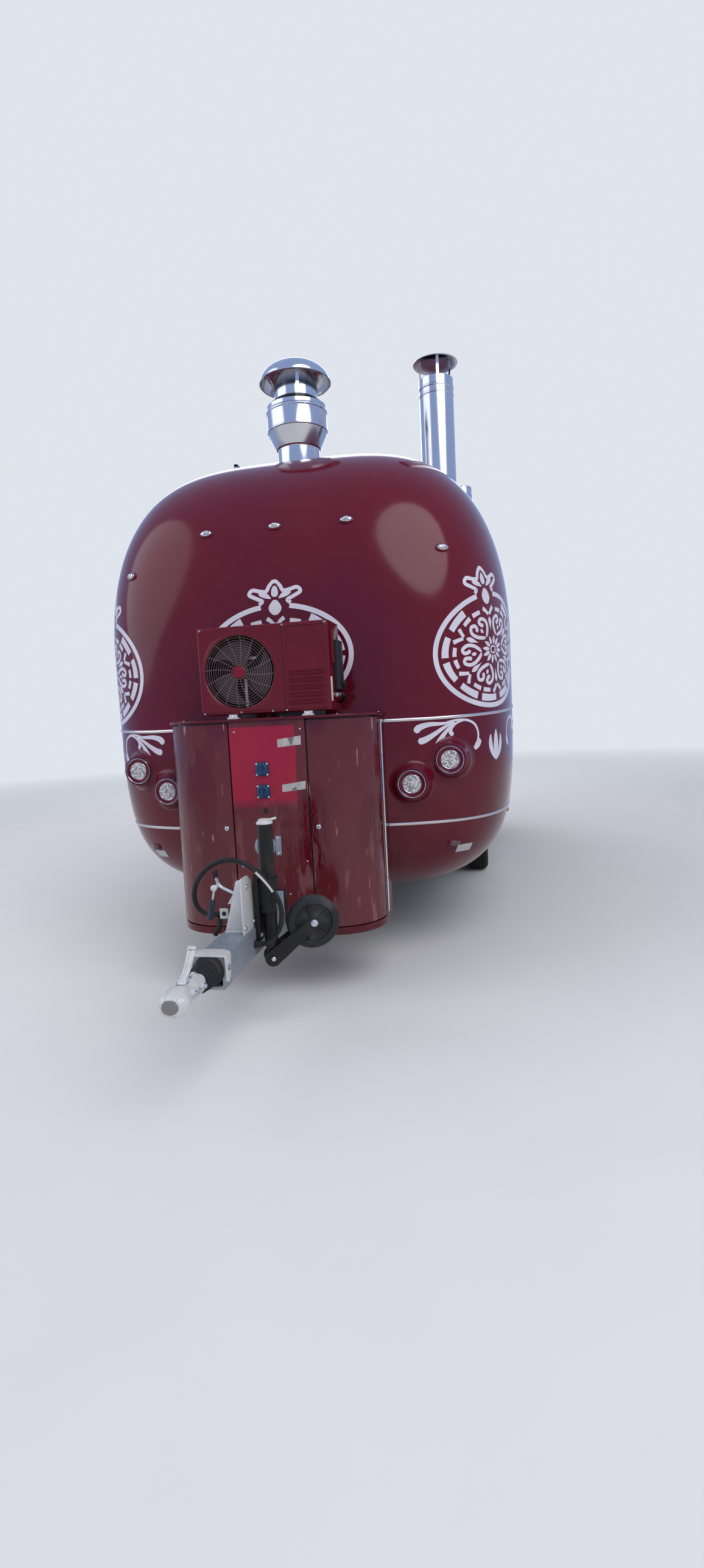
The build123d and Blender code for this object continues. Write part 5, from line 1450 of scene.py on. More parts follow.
@built("conditioner_casing", "conditioner_case", sharp=38)
def conditioner_box(piece):
    """Casing whose front runs from the fan's round hole to a rounded rectangle, with all its fittings."""
    (x0, x1), (s0, s1), (z0, z1) = CASE
    step = np.linspace(0, 1, 17)[:-1]
    side = np.concatenate([np.stack([step, 0 * step], 1), np.stack([1 + 0 * step, step], 1),
        np.stack([1 - step, 1 + 0 * step], 1), np.stack([0 * step, 1 - step], 1)])

    def frame_at(inset, s):
        x = x0 + inset + side[:, 0] * (x1 - x0 - 2 * inset)
        z = z0 + inset + side[:, 1] * (z1 - z0 - 2 * inset)
        return places(x, s, z)

    edge = frame_at(0, 0)
    angle = np.arctan2(edge[:, 2] - FAN[1], edge[:, 0] - FAN[0])

    def ring(radius, s):
        return places(FAN[0] + radius * np.cos(angle), s, FAN[1] + radius * np.sin(angle))

    square = frame_at(9, s0 + 0.6)
    mouth = ring(180, s0 + 0.6)
    rows = [ring(166, s0 + 110), ring(166, s0 + 40), ring(166, s0 + 5), ring(168, s0 + 1.2),
        ring(172, s0 - 1.6), ring(177, s0 - 1.2), mouth, mouth * 0.5 + square * 0.5, square,
        frame_at(4, s0 + 1.8), frame_at(1.2, s0 + 4.5), frame_at(0, s0 + 9), frame_at(0, s1 - 6),
        frame_at(1.2, s1 - 2), frame_at(5, s1), frame_at(100, s1), frame_at(195, s1)]
    piece.grid(rows, casing_red, round_v=True, ends=True)
    lathe(piece, duct_dark, disc(165.5, 0, 4), (FAN[0], s0 + 109.4, FAN[1]), FRONT, 64)
    lathe(piece, duct_dark, [(165.6, 0), (165.6, 98), (163, 98), (163, 0)], (FAN[0], s0 + 109, FAN[1]),
        FRONT, 64)
    block(piece, duct_dark, (117, s0 - 0.3, z0 + 8), (119.4, s0 + 3, z1 - 8), 0.3, 1)
    block(piece, white_zinc, (FAN[0] - 7, s0 + 84, FAN[1] - 158), (FAN[0] + 7, s0 + 90, FAN[1] + 158), 1)
    block(piece, white_zinc, (FAN[0] - 7, s0 + 80, FAN[1] + 62), (FAN[0] + 60, s0 + 90, FAN[1] + 74), 1)
    pressed = box_line(132, 322, z0 + 14, z1 - 14, 14, 6)
    carried(piece, casing_red, upright(pressed, s0 + 0.4), bead(4, 3.6), FRONT, closed=True)
    for z in z0 + 36 + 33 * np.arange(5):
        line = box_line(146, 304, z, z + 15, 6, 5)
        carried(piece, casing_red, upright(line, s0 + 0.3), bead(3.2, 4.6), FRONT, closed=True)
        block(piece, duct_dark, (151, s0 - 0.8, z + 1.5), (299, s0 + 1.5, z + 4.2), 0.4, 1)
    ridge = smooth_path([(-284, z0 + 16), (-40, z0 + 15), (-16, z0 + 26), (8, z0 + 15), (112, z0 + 15)], 8)
    carried(piece, casing_red, upright(ridge, s0 + 0.3), bead(3, 3), FRONT)
    for x, z in ((-270, z0 + 9), (-92, z0 + 10), (60, z0 + 9), (126, z0 + 9), (-270, z1 - 12),
            (320, z1 - 10), (124, z1 - 10)):
        lathe(piece, stainless, [(0, 0), (4.4, 0), (4, 1.6), (2, 2.4), (0, 2.4)], (x, s0, z), FRONT, 14)
    for x in (-137, 223):
        block(piece, white_zinc, (x - 24, s0 - 11, 1334), (x + 24, s0 + 30, 1338), 1.5)
        block(piece, white_zinc, (x - 20, s0 + 4, 1336), (x + 20, s0 + 26, 1351), 1.5)
        block(piece, white_zinc, (x - 24, s1 - 30, 1330.5), (x + 24, s1 + 11, 1350.5), 1.5)
        block(piece, black_rubber, (x - 20, s0 - 9, 1330.3), (x + 20, s0 + 28, 1335), 1.5)
        screw(piece, stainless, (x, s0 - 2, 1338), UP, 5, 5)
    block(piece, dark_plastic, (x1 - 1, s0 + 96, z0 + 92), (x1 + 25, s1 - 30, z1 - 82), 5)
    block(piece, white_plastic, (x1 - 1, s0 + 18, z0 + 40), (x1 + 3, s0 + 42, z0 + 150), 1.5)
    block(piece, casing_red, (x1 - 1, s0 + 40, z0 + 210), (x1 + 12, s0 + 78, z1 - 40), 5)
    for z, r in ((z0 + 70, 8), (z0 + 128, 11)):
        lathe(piece, white_zinc, [(0, 0), (r * 1.5, 0), (r * 1.5, 6), (r, 8), (r, 26), (0, 26)],
            (x1 - 2, s0 + 128, z), (1, 0, 0), 24, radius=0.8)
        lathe(piece, rim_silver, disc(r * 1.2, 0, 12), (x1 + 12, s0 + 128, z), (1, 0, 0), 6)
        pipe(piece, black_rubber, smooth_path([(x1 + 20, s0 + 132, z), (x1 + 30, s0 + 150, z - 4),
            (x1 + 26, s0 + 176, z - 18), (x1 + 6, s0 + 204, z - 30), (x1 - 12, s0 + 232, z - 28),
            (x1 - 18, s0 + 300, z - 24)], 7), r * 1.1, 14)


@built("", "conditioner_case", sharp=50)
def fan_guard(piece):
    """Wire guard: rings and spokes on a low dome, with the hub's red cap."""
    s0 = CASE[1][0]

    def dome(radius):
        return s0 + 2.5 - 6.5 * (1 - (radius / 168) ** 2)

    for radius in np.arange(22, 168, 11.2):
        path = upright(circle(radius, 64), dome(radius), FAN)
        carried(piece, guard_wire, path, circle(0.8, 5), FRONT, closed=True)
    reach = np.linspace(12, 168.5, 12)
    for a in np.arange(16) * pi / 8 + 0.1:
        swing = a + 0.22 * (reach / 168)
        path = places(FAN[0] + reach * np.cos(swing), dome(reach) + 1.6, FAN[1] + reach * np.sin(swing))
        pipe(piece, guard_wire, path, 1.1, 6, (0, -1, 0.01))
    lathe(piece, bright_red, [(0, 0), (27, 0), (27, 2.5), (24, 6), (12, 8), (0, 8.4)], (FAN[0], s0 - 1.5,
        FAN[1]), FRONT, 40, radius=0.8)


@built("conditioner_fan", "fan_plastic", body="conditioner_fan", sharp=40, outward=False)
def fan_blades(piece):
    """Three swept blades: reach by chord grid, pitched about the radius, on a hub."""
    s0 = CASE[1][0]
    u = np.linspace(0, 1, 15)[:, None]
    v = np.linspace(0, 1, 13)[None, :]
    radius = 28 + 120 * u + 0 * v
    spread = np.radians(30 + 14 * u)
    swing = (v - 0.5) * 2 * spread + np.radians(26) * u ** 1.4
    depth = s0 + 41 - (v - 0.5) * (22 + 6 * u) - 5 * np.sin(pi * v)
    for k in range(3):
        a = swing + radians(90 + 120 * k)
        points = places(FAN[0] + radius * np.cos(a), depth, FAN[1] + radius * np.sin(a))
        piece.thick(points, FRONT, 3, fan_dark)
    lathe(piece, fan_dark, [(0, 0), (31.5, 0), (31.5, 28), (26, 35), (0, 36.5)], (FAN[0], s0 + 59, FAN[1]),
        FRONT, 40, radius=2)


# Roof outlets

RIVET = [(0, 0), (3.4, 0), (2.4, 1.8), (0, 2.2)]


def strap(piece, at, angle, route, half, thick):
    """Flat strap up a round body at an angle, along a route of (radius, height)."""
    path = smooth_path([spoke(angle) * radius + (0, 0, height) for radius, height in route], 5)
    carried(piece, stainless, path + at, strip(half, thick), spoke(angle))


@built("main_roof_vent", "stainless", sharp=36)
def vent_stack(piece):
    """Turned stainless vent: collar, cone, drum with beads, neck and a mushroom hood on straps."""
    base = roof_at(0, 679)
    at = (0, 679, base)
    lathe(piece, stainless, [(0, -38), (119, -38), (119, 58), (121, 62), (127, 66), (170, 155), (174, 158),
        (174, 164), (171, 166), (171, 256), (175, 260), (176, 266), (173, 272), (171, 275), (171, 296),
        (150, 314), (126, 328), (124, 334), (124, 460), (0, 460)], at, count=96, radius=1.5)
    rim = 428
    dome = on_circle(np.linspace(0, pi / 2, 14))[:, ::-1] * (200, 116) + (0, rim)
    lathe(piece, stainless, [*dome, (202, rim - 2), (205, rim), (203, rim + 4), (198, rim + 2),
        (192, rim + 24), (172, rim + 56), (128, rim + 88), (60, rim + 106), (0, rim + 108)], at, count=96)
    for a in (0.9, 2.95, 5.05):
        strap(piece, at, a, ((125, 360), (126, 400), (140, 450), (158, 490)), 9, 1.2)
    for z in (268, 160):
        for a in np.arange(12) * pi / 6:
            lathe(piece, stainless, RIVET, spoke(a) * 172.5 + at + (0, 0, z - 10), spoke(a), 8)


@built("roof_flues", "stainless", sharp=36)
def flue_stacks(piece):
    """Tall flue with its rain cap on three legs, the short open flue and the bent vent pipe."""
    at = np.array([783.0, 955.0, 0.0])
    foot = roof_at(883, 955) - 60
    lathe(piece, stainless, [(100, foot), (100, 3150), (102.5, 3153), (102.5, 3159), (100, 3162),
        (100, 3189), (103, 3193), (103, 3199), (100, 3203), (100, 3248), (98.5, 3250), (97, 3248),
        (97, foot)], at, count=80)
    lathe(piece, duct_dark, disc(97.2, foot + 20, foot + 30), at, count=40)
    lathe(piece, stainless, [(0, 3340), (60, 3340), (126, 3337), (129, 3338), (130.5, 3340), (128, 3344),
        (70, 3361), (12, 3374), (0, 3375.5)], at, count=80)
    for k in range(3):
        a = radians(120 * k + 40)
        strap(piece, at, a, ((99.4, 3205), (99.4, 3250), (101, 3300), (108, 3341)), 8, 1.4)
        lathe(piece, stainless, RIVET, spoke(a) * 100 + at + (0, 0, 3222), spoke(a), 8)
    seam = np.array([spoke(0.9) * 103.0 * 0.98 + at + (0, 0, z) for z in np.linspace(foot + 10, 3146, 8)])
    carried(piece, stainless, seam, strip(4, 1), spoke(0.9))
    at = np.array([905.0, 1180.0, 0.0])
    foot = roof_at(965, 1180) - 80
    lathe(piece, stainless, [(62, foot), (62, 2632), (64.5, 2636), (64.5, 2642), (62, 2646), (62, 2688),
        (60.5, 2690), (59, 2688), (59, foot)], at, count=64)
    lathe(piece, duct_dark, disc(59.2, foot + 20, foot + 30), at, count=32)
    base = roof_at(-215, 1150)
    at = np.array([-215.0, 1150.0, base])
    lathe(piece, stainless, [(0, -38), (34, -38), (34, 66), (32, 70), (24, 72), (0, 72)], at,
        count=40, radius=1)
    bend = [at + p for p in ((0, 0, 60), (0, 0, 120), (0, 0, 168), (5, 0, 192), (20, 0, 208), (44, 0, 214),
        (66, 0, 214), (90, 0, 214))]
    pipe(piece, stainless, smooth_path(bend, 6), 24, 28, REAR)
    lathe(piece, duct_dark, disc(21, 0, 1), at + (89.8, 0, 214), (1, 0, 0), 24)
    for z in (150, 176):
        lathe(piece, hinge_metal, [(24, -5), (26.5, -5), (26.5, 5), (24, 5)], at + (0, 0, z - 20), UP, 32)


@built("roof_sign", "sign_board", bevel=1)
def roof_board(piece):
    """Blank board on braces along the roof's kerb side, with a folded frame and bolts."""
    z0 = roof_at(-640, 2000) + 40
    top = z0 + 250
    block(piece, board_dark, (-608, 1303, z0 + 3), (-592, 3897, top - 3), 2)
    for s0, s1, za, zb in ((1300, 3900, top - 18, top), (1300, 3900, z0, z0 + 18), (1300, 1320, z0, top),
            (3880, 3900, z0, top)):
        block(piece, galvanised, (-612, s0, za), (-588, s1, zb), 2)
    for s in (1500, 2600, 3700):
        foot_in, foot_out = -450, -410
        outline = [(-590, top - 20), (-590, top - 50), (foot_in, roof_at(foot_in, 2000) - 20),
            (foot_out, roof_at(foot_out, 2000) - 20)]
        plate(piece, galvanised, outline, s - 15, s + 15)
        block(piece, galvanised, (-612, s - 15, roof_at(-588, 2000) - 58), (-588, s + 15, z0 + 10), 2)
        for z in (z0 + 30, top - 34):
            screw(piece, galvanised, (-612, s, z), (-1, 0, 0), 6, 4)


# Drawbar group

BEAM_HEIGHT = 415
COUPLING_HEIGHT = 425


def square_loop(half_x, half_z, radius, s, middle=(0, 0)):
    """Rounded rectangle round a middle, standing at a distance behind the nose."""
    return upright(box_line(-half_x, half_x, -half_z, half_z, radius, 6), s, middle)


@built("drawbar", "galvanised", sharp=36)
def drawbar_beam(piece):
    """Hollow box beam, inside and out, with the bright cast collar that holds the bellows."""
    rows = [square_loop(h, h, r, s, (0, BEAM_HEIGHT)) for h, r, s in ((54, 8, 699), (54, 8, -1067),
        (57, 10, -1069.5), (60, 12, -1066), (60, 12, 700))]
    piece.grid(rows, galvanised, round_u=True, round_v=True)
    rows = [square_loop(h, h, r, s, (0, BEAM_HEIGHT)) for h, r, s in ((60.3, 12, -1060), (62, 13, -1063),
        (62, 13, -1112), (60, 12, -1114), (50, 10, -1114), (48, 9, -1110), (48, 9, -1062))]
    piece.grid(rows, galvanised, round_u=True, round_v=True)
    slab(piece, white_zinc, rounded_line([(-68, -1121), (68, -1121), (67, -1064), (36, -1044), (-36, -1044),
        (-67, -1064)], 6, 4, True), 476.5, 483.5, 2.5)
    for x in (-68.5, 62):
        slab(piece, white_zinc, rounded_line([(-1121, 482), (-1064, 482), (-1074, 400), (-1092, 378),
            (-1113, 384)], 7, 4, True), x, x + 6.5, 2, "x")
    for x in (-68, 68):
        screw(piece, galvanised, (x, -1092, 432), (np.sign(x), 0, 0), 8, 7)
    screw(piece, galvanised, (0, -1030, 475), UP, 5, 4)


@built("overrun_shaft", "black_rubber", sharp=60)
def shaft_bellows(piece):
    """Shaft in rubber bellows: radius waves along it and grows towards the beam."""
    lathe(piece, rim_silver, disc(30, -1291, -960), (0, 0, COUPLING_HEIGHT), REAR, 40)
    t = np.linspace(0, 1, 97)
    wave = np.abs(np.cos(pi * 4 * t)) ** 0.6
    radius = 34 + 8 * t + (11 + 6 * t) * wave
    lathe(piece, black_rubber, [(31, -1222), (37, -1222), *np.stack([radius, -1218 + 106 * t], 1),
        (46, -1108), (31, -1108)], (0, 0, COUPLING_HEIGHT), REAR, 64)
    lathe(piece, stainless, [(39, -4), (41.5, -4), (41.5, 4), (39, 4)], (0, -1211, COUPLING_HEIGHT), REAR,
        48)


@built("coupling_head", "cast_grey", sharp=40)
def socket_head(piece):
    """Cast socket: rounded sections whose width, top and foot follow curves, with ribs, bolts and a pad."""
    s = np.array([-1442, -1440, -1434, -1424, -1408, -1390, -1374, -1358, -1342, -1318, -1296, -1270, -1244,
        -1226.0])
    half = np.array([8, 24, 38, 48, 52, 49, 43, 38, 34, 33, 37, 36, 34, 33.0])
    top = np.array([4, 14, 24, 31, 36, 39, 40, 39, 37, 36, 40, 38, 35, 33.0])
    foot = np.array([-18, -28, -34, -38, -38, -37, -34, -30, -27, -30, -36, -37, -35, -33.0])
    fine = np.interp(np.linspace(0, 1, 52) ** 1.25, np.linspace(0, 1, 14), s)
    angle = once_round(40)[None]
    w, t, b = (np.interp(fine, s, v)[:, None] for v in (half, top, foot))
    cs, sn = np.cos(angle), np.sin(angle)
    x = w * np.sign(cs) * np.abs(cs) ** 0.72
    z = COUPLING_HEIGHT + np.where(sn > 0, t, -b) * np.sign(sn) * np.abs(sn) ** 0.72
    piece.grid(places(x, fine[:, None], z), cast_zinc, round_v=True, ends=True)
    for x in (-28, 28):
        rib = smooth_path([(x * 0.6, -1436, 443), (x, -1408, 461), (x, -1376, 467), (x * 0.8, -1344, 462),
            (x * 0.8, -1300, 465)], 6)
        carried(piece, cast_zinc, rib, [(-3.5, -10), (3.5, -10), (3, 4), (1.5, 6), (-1.5, 6), (-3, 4)])
    for side in (-1, 1):
        bar(piece, cast_zinc, (side * 28, -1335, 433), (side * 44, -1335, 433), 14, 28, 2)
        screw(piece, rim_silver, (side * 43, -1335, 433), (side, 0, 0), 8, 6)
        for at in (-1296, -1252):
            bar(piece, cast_zinc, (side * 26, at, COUPLING_HEIGHT), (side * 40, at, COUPLING_HEIGHT),
                12, 24, 2)
            screw(piece, rim_silver, (side * 39.5, at, COUPLING_HEIGHT), (side, 0, 0), 8, 8)
    for at in (-1290, -1248):
        bar(piece, cast_zinc, (0, at, 452), (0, at, 467), 13, 28, 2)
        screw(piece, rim_silver, (0, at, 466.5), UP, 8, 6)
    oval(piece, rubber_grey, (0, -1437, COUPLING_HEIGHT), (0, -1, 0.2), (1, 0, 0), 29, 23,
        [(0, -12), (1, -12), (1, 5), (0.9, 8.5), (0, 10.5)])
    oval(piece, lens_red, (-6, -1424, 452), (0, -0.5, 1), (1, 0, 0), 11, 6, [(0, -3), (1, -3), (1, 1.5),
        (0.7, 2.6), (0, 3)])
    lathe(piece, duct_dark, disc(26, 0, 3), (0, -1398, 389), (0, 0, -1), 40)


@built("coupling_handle", "grip_metal", sharp=40)
def socket_grip(piece):
    """Grip: a rounded flat section along a rising curve, narrow at its neck, with rims and a pivot."""
    path = smooth_path([(0, -1346, 463), (0, -1334, 472), (0, -1308, 486), (0, -1278, 514), (0, -1256, 540),
        (0, -1246, 556), (0, -1246, 559)], 8)
    shares, sizes = [0, 0.12, 0.3, 0.5, 0.85, 0.97, 1], [0.9, 1, 0.72, 0.84, 1, 0.86, 0.5]
    size = np.interp(np.linspace(0, 1, len(path)), shares, sizes)
    section = box_line(-15.5, 15.5, -6.5, 6.5, 5, 5)
    carried(piece, cast_zinc, path, section, (0, 0.6, 1), scale=size)
    for x in (-11.5, 11.5):
        carried(piece, cast_zinc, path[6:-4] + (x * 0.7, -5, 4), circle(3.2, 10), (0, 0.6, 1))
    bar(piece, rim_silver, (-19, -1332, 471), (19, -1332, 471), 6.5, 24, 1.2)


@built("brake_bracket", "galvanised", sharp=36)
def brake_plate(piece):
    """Standing plate with an upright flange, on the beam's top."""
    slab(piece, white_zinc, rounded_line([(-44, 475.4), (46, 475.4), (46, 689), (14, 689)], (2, 2, 2, 10), 4,
        True), -826, -821, 1.2, "y")
    slab(piece, white_zinc, rounded_line([(-871, 475.4), (-716, 475.4), (-716, 640), (-790, 703),
        (-871, 703)], (2, 2, 18, 18, 8), 4, True), 46, 52, 1.5, "x")
    for s, z in ((-850, 500), (-748, 500), (-812, 660)):
        screw(piece, rim_silver, (52, s, z), (1, 0, 0), 7, 6)
    carried(piece, white_zinc, [(-44, -824, 476.5), (46, -824, 476.5)], circle(4, 10))


@built("handbrake", "cast_grey", sharp=40)
def brake_lever(piece):
    """Lever of two rods with a rubber grip, its pivot, and the gas strut beside it."""
    for shift in (-5.5, 5.5):
        line = rounded_line([(14, -810 + shift, 625), (-66, -810 + shift, 663), (-79, -810 + shift, 727)],
            22, 8)
        pipe(piece, rim_silver, line, 4.2, 14, REAR)
    bar(piece, black_rubber, (-74.5, -810, 696), (-79.5, -810, 728), 10.5, 28, 5)
    bar(piece, white_zinc, (-70, -800, 664), (-70, -852, 664), 8.5, 28, 1.5)
    lathe(piece, white_zinc, [(0, 0), (13, 0), (13, 4), (9, 7), (0, 8)], (-70, -850, 664), FRONT, 28)
    bar(piece, tube_blue, (-81, -844, 614), (-98, -844, 535), 11.5, 32, 2)
    bar(piece, stainless, (-70, -844, 662), (-82, -844, 610), 5, 20)
    bar(piece, rim_silver, (14, -820.6, 625), (14, -798, 625), 12, 28, 1.5)
    screw(piece, rim_silver, (14, -798.5, 625), REAR, 8, 6)
    slab(piece, white_zinc, rounded_line([(-30, 590), (-12, 590), (20, 640), (8, 650)], 5, 4, True), -818.5,
        -814.5, 1, "y")


# Jockey wheel group: the pivot, the direction across the fork and the arm folded up

TUBE = (112, -715, 0)
JOCKEY = np.array([112.0, -715.0, 340.0])
SWIVEL = radians(24)
FOLD = radians(36)
OUTWARDS = spoke(SWIVEL)
PIN = np.array([-sin(SWIVEL), cos(SWIVEL), 0])
ARM = OUTWARDS * cos(FOLD) + np.array([0, 0, sin(FOLD)])
HUB = JOCKEY + ARM * 220


def link(piece, finish, length, start_radius, end_radius, low, high, way, origin):
    """Flat link with two round ends: a hull of two circles, square to the pin."""
    lean = asin((start_radius - end_radius) / length)
    a = np.linspace(pi / 2 - lean, pi * 1.5 + lean, 18)
    b = np.linspace(-pi / 2 + lean, pi / 2 - lean, 18)
    outline = np.concatenate([on_circle(a) * start_radius, on_circle(b) * end_radius + (length, 0)])
    slab(piece, finish, outline, low, high, 1.2, np.array([way, np.cross(PIN, way), PIN]), origin)


@built("jockey_clamp", "jockey_tube", sharp=36)
def jockey_sleeve(piece):
    """Plate on the beam's side, a split sleeve round the tube, its screw and the grey flap."""
    block(piece, tube_dark, (60.5, -759, 416), (80, -671, 699), 4)
    block(piece, tube_dark, (78, -748, 560), (92, -682, 660), 4)
    lathe(piece, tube_dark, [(32.3, 535), (44, 535), (44, 548), (42, 552), (42, 658), (44, 662), (44, 675),
        (32.3, 675)], TUBE, count=56, radius=1)
    block(piece, tube_dark, (142, -723, 536), (188, -707, 624), 3)
    block(piece, galvanised, (146, -735, 532), (180, -729, 622), 2)
    bar(piece, rim_silver, (166, -748, 580), (166, -684, 580), 6, 20)
    bar(piece, rim_silver, (166, -690, 552), (166, -690, 612), 4.5, 16, 2)
    for s in (-745, -685):
        for z in (440, 690):
            screw(piece, galvanised, (80, s, z), (1, 0, 0), 7, 6)


@built("jockey_outer_tube", "jockey_tube", sharp=36)
def jockey_sheath(piece):
    """Outer tube with its pale cap and the folded crank."""
    lathe(piece, tube_dark, [(28.5, 540), (32, 540), (32, 556), (31.2, 558), (31.2, 890), (32, 893),
        (32, 903), (28.5, 903)], TUBE, count=56)
    lathe(piece, white_zinc, [(0, 899), (33.5, 899), (34, 901), (34, 905), (31, 909), (26, 911), (25, 917),
        (22, 919), (0, 919)], TUBE, count=56)
    line = rounded_line([(112, -715, 913), (136, -691, 913), (150, -677, 916)], 8, 6)
    pipe(piece, white_zinc, line, 5.2, 14)
    bar(piece, dark_plastic, (98, -722, 917), (120, -708, 917), 1.6, 12)
    block(piece, dark_plastic, (102, -722, 915), (124, -704, 918.9), 1.5)


@built("jockey_inner_tube", "jockey_tube", body="jockey_inner_tube", sharp=36)
def jockey_stem(piece):
    """Inner tube with two ears and the fork's pin."""
    lathe(piece, tube_dark, [(0, 386), (28, 386), (28, 893), (25, 893), (25, 398), (0, 398)], TUBE,
        count=48, radius=0.6)
    for offset in (-18, 18):
        link(piece, tube_dark, 50, 24, 18, offset - 3, offset + 3, np.array([0, 0, 1.0]), JOCKEY)
    bar(piece, rim_silver, JOCKEY - PIN * 37, JOCKEY + PIN * 37, 7, 24, 1.2)
    for sense in (-1, 1):
        lathe(piece, rim_silver, [(0, 38), (10, 38), (10, 42), (7, 44), (0, 44)], JOCKEY, PIN * sense, 6)


@built("jockey_fork", "jockey_tube", body="jockey_fork", sharp=36)
def jockey_cheeks(piece):
    """Two cheeks with a web between, and the wheel's axle."""
    for offset in (-32, 32):
        link(piece, tube_dark, 220, 34, 24, offset - 2.5, offset + 2.5, ARM, JOCKEY)
    rise = np.cross(PIN, ARM)
    outline = box_line(-15, 15, -23, 23, 5, 4)
    slab(piece, tube_dark, outline, -31, 31, 1.0, np.array([ARM, rise, PIN]), JOCKEY + ARM * 70)
    bar(piece, rim_silver, HUB - PIN * 40, HUB + PIN * 40, 7.9, 24, 1.2)
    for sense in (-1, 1):
        lathe(piece, rim_silver, disc(15, 34.5, 36.5), HUB, PIN * sense, 24)
        lathe(piece, rim_silver, [(0, 36), (12, 36), (12, 43), (9, 44.5), (0, 44.5)], HUB, PIN * sense, 6)


@built("jockey_wheel", "black_rubber", body="jockey_wheel", sharp=36)
def jockey_roller(piece):
    """Solid rubber wheel: rounded tread with two fine grooves, dished sides and ribbed hub."""
    half = [(8.2, 24), (20, 24), (22, 23), (24, 14), (30, 11), (70, 12), (76, 15), (80, 24), (84, 25),
        (102, 24), (108, 20), (111.5, 14), (112, 9), (110.5, 8), (110.5, 6.5), (112, 5.5)]
    profile = [*half, *[(r, -h) for r, h in half[::-1]]]
    lathe(piece, jockey_rubber, profile, HUB, PIN, 96)
    for sense in (-1, 1):
        for a in np.arange(5) * 2 * pi / 5:
            way = direction(cos(a) * ARM + sin(a) * np.cross(PIN, ARM))
            path = [HUB + way * 23 + PIN * sense * 12, HUB + way * 74 + PIN * sense * 13]
            carried(piece, jockey_rubber, path, [(-4, -6), (4, -6), (3, 7), (-3, 7)], PIN * sense)


# Road wheels

def tyre(name, side, s):
    """Tyre: a profile turned about the axle, lowered in round grooves and, rib by rib, in slanted sipes."""
    piece = Piece(f"{name}_tread")
    grooves = np.array([-34.0, -11.5, 11.5, 34.0])
    cuts = np.sort(np.concatenate([grooves - 3.8, grooves - 3, grooves + 3, grooves + 3.8]))
    flank = [(-68.5, 178), (-76, 184), (-77, 192), (-80, 208), (-82.3, 226), (-82.4, 244), (-80.5, 258),
        (-78.5, 269), (-76, 273), (-72, 280), (-64, 288), (-58, 291.5)]
    crown = [(x, 295 - 2.5 * (abs(x) / 58) ** 2.4) for x in (-50, *cuts, 50)]
    profile = np.array([*flank, *crown, *[(-x, r) for x, r in flank[::-1]], (60, 176), (-60, 176)])
    pitches = 66
    part = np.array([0.0, 0.05, 0.27, 0.32])
    turns = np.arange(pitches)[:, None] + part[None]
    low_column = np.tile([False, True, True, False], pitches)
    offset, radius = profile[:, 0], profile[:, 1]
    tread = radius > 291
    groove = np.abs(offset[:, None] - grooves).min(1) < 3.4
    depth = np.zeros((len(profile), pitches * 4))
    rib = np.floor((offset + 57) / 22.8).astype(int)
    blocky = tread & ~groove & ((rib % 2 == 0) | (radius < 292.9))
    depth[np.ix_(blocky, low_column)] = 4.5
    depth[tread & groove] = 6.5
    shoulder = (radius > 272) & (radius <= 291)
    depth[np.ix_(shoulder, low_column)] = 3
    slant = 0.35 * np.sign(offset) * (np.abs(offset) / 60) ** 1.5
    angle = (turns.ravel()[None] + np.where(tread | shoulder, slant, 0)[:, None]) * 2 * pi / pitches
    r = radius[:, None] - depth
    height = AXLE_HEIGHT + r * np.sin(angle)
    points = places(side * (HALF_TRACK + offset[:, None]), s + r * np.cos(angle), height)
    piece.grid(points, tyre_black, round_u=True, round_v=True)
    for ring, x in ((262, 80.6), (200, 79.6)):
        lathe(piece, tyre_black, [(ring - 2, -3), (ring + 2, -3), (ring + 1.2, 0.9), (ring - 1.2, 0.9)],
            (side * (HALF_TRACK + x), s, AXLE_HEIGHT), (side, 0, 0), 96)
    piece.make(f"{name}_tyre", "tyre_rubber", f"{name}_wheel", 30)


def rim(name, side, s):
    """Pressed rim: barrel, dished disc with hand holes, drum behind, five bolts and a hub cap."""
    piece = Piece(f"{name}_disc")
    at, out = (side * HALF_TRACK, s, AXLE_HEIGHT), (side, 0, 0)
    lathe(piece, rim_silver, [(168, -66), (175, -70), (177.6, -69), (177.6, -60), (174, -56), (171, -50),
        (160, -46), (160, 46), (170, 52), (174, 58), (177.6, 62), (177.6, 70), (175, 72), (170, 68),
        (165, 60), (154, 44), (154, -48)], at, out, 96, radius=1.5)
    radial = np.array([(34, 56), (46, 56), (58, 54), (66, 46), (74, 34), (92, 27), (112, 25), (122, 27),
        (128, 30), (136, 33), (144, 35), (150, 35), (156, 31), (159, 22.0)])
    angle = once_round(144)
    first, second = side_axes(out)
    ring = np.cos(angle)[None, :, None] * first + np.sin(angle)[None, :, None] * second
    reach, lift = (column[:, None, None] for column in radial.T)
    points = np.asarray(at, float) + reach * ring + lift * np.asarray(out)
    faces = grid_faces(len(radial), 144, False, True)
    row, column = np.divmod(np.arange(len(faces)), 144)
    hole = (row >= 8) & (row <= 10) & ((column % 18) < 7)
    corner = ((row == 8) | (row == 10)) & (((column % 18) == 0) | ((column % 18) == 6))
    piece.thick(points, out, 4, rim_silver, faces=faces[~(hole & ~corner)])
    lathe(piece, galvanised, [(0, -60), (128, -60), (128, 10), (120, 12), (40, 12), (40, 20), (0, 20)], at,
        out, 64, radius=2)
    lathe(piece, rim_silver, [(0, 40), (36, 40), (36, 62), (33, 70), (24, 75), (0, 76)], at, out, 40,
        radius=1.5)
    for k in range(5):
        a = 2 * pi * k / 5
        place = np.asarray(at) + (first * cos(a) + second * sin(a)) * 52 + np.asarray(out) * 54
        screw(piece, stainless, place, out, 8.5, 13)
    piece.make(f"{name}_rim", "rim_steel", f"{name}_wheel", 36, outward=False)


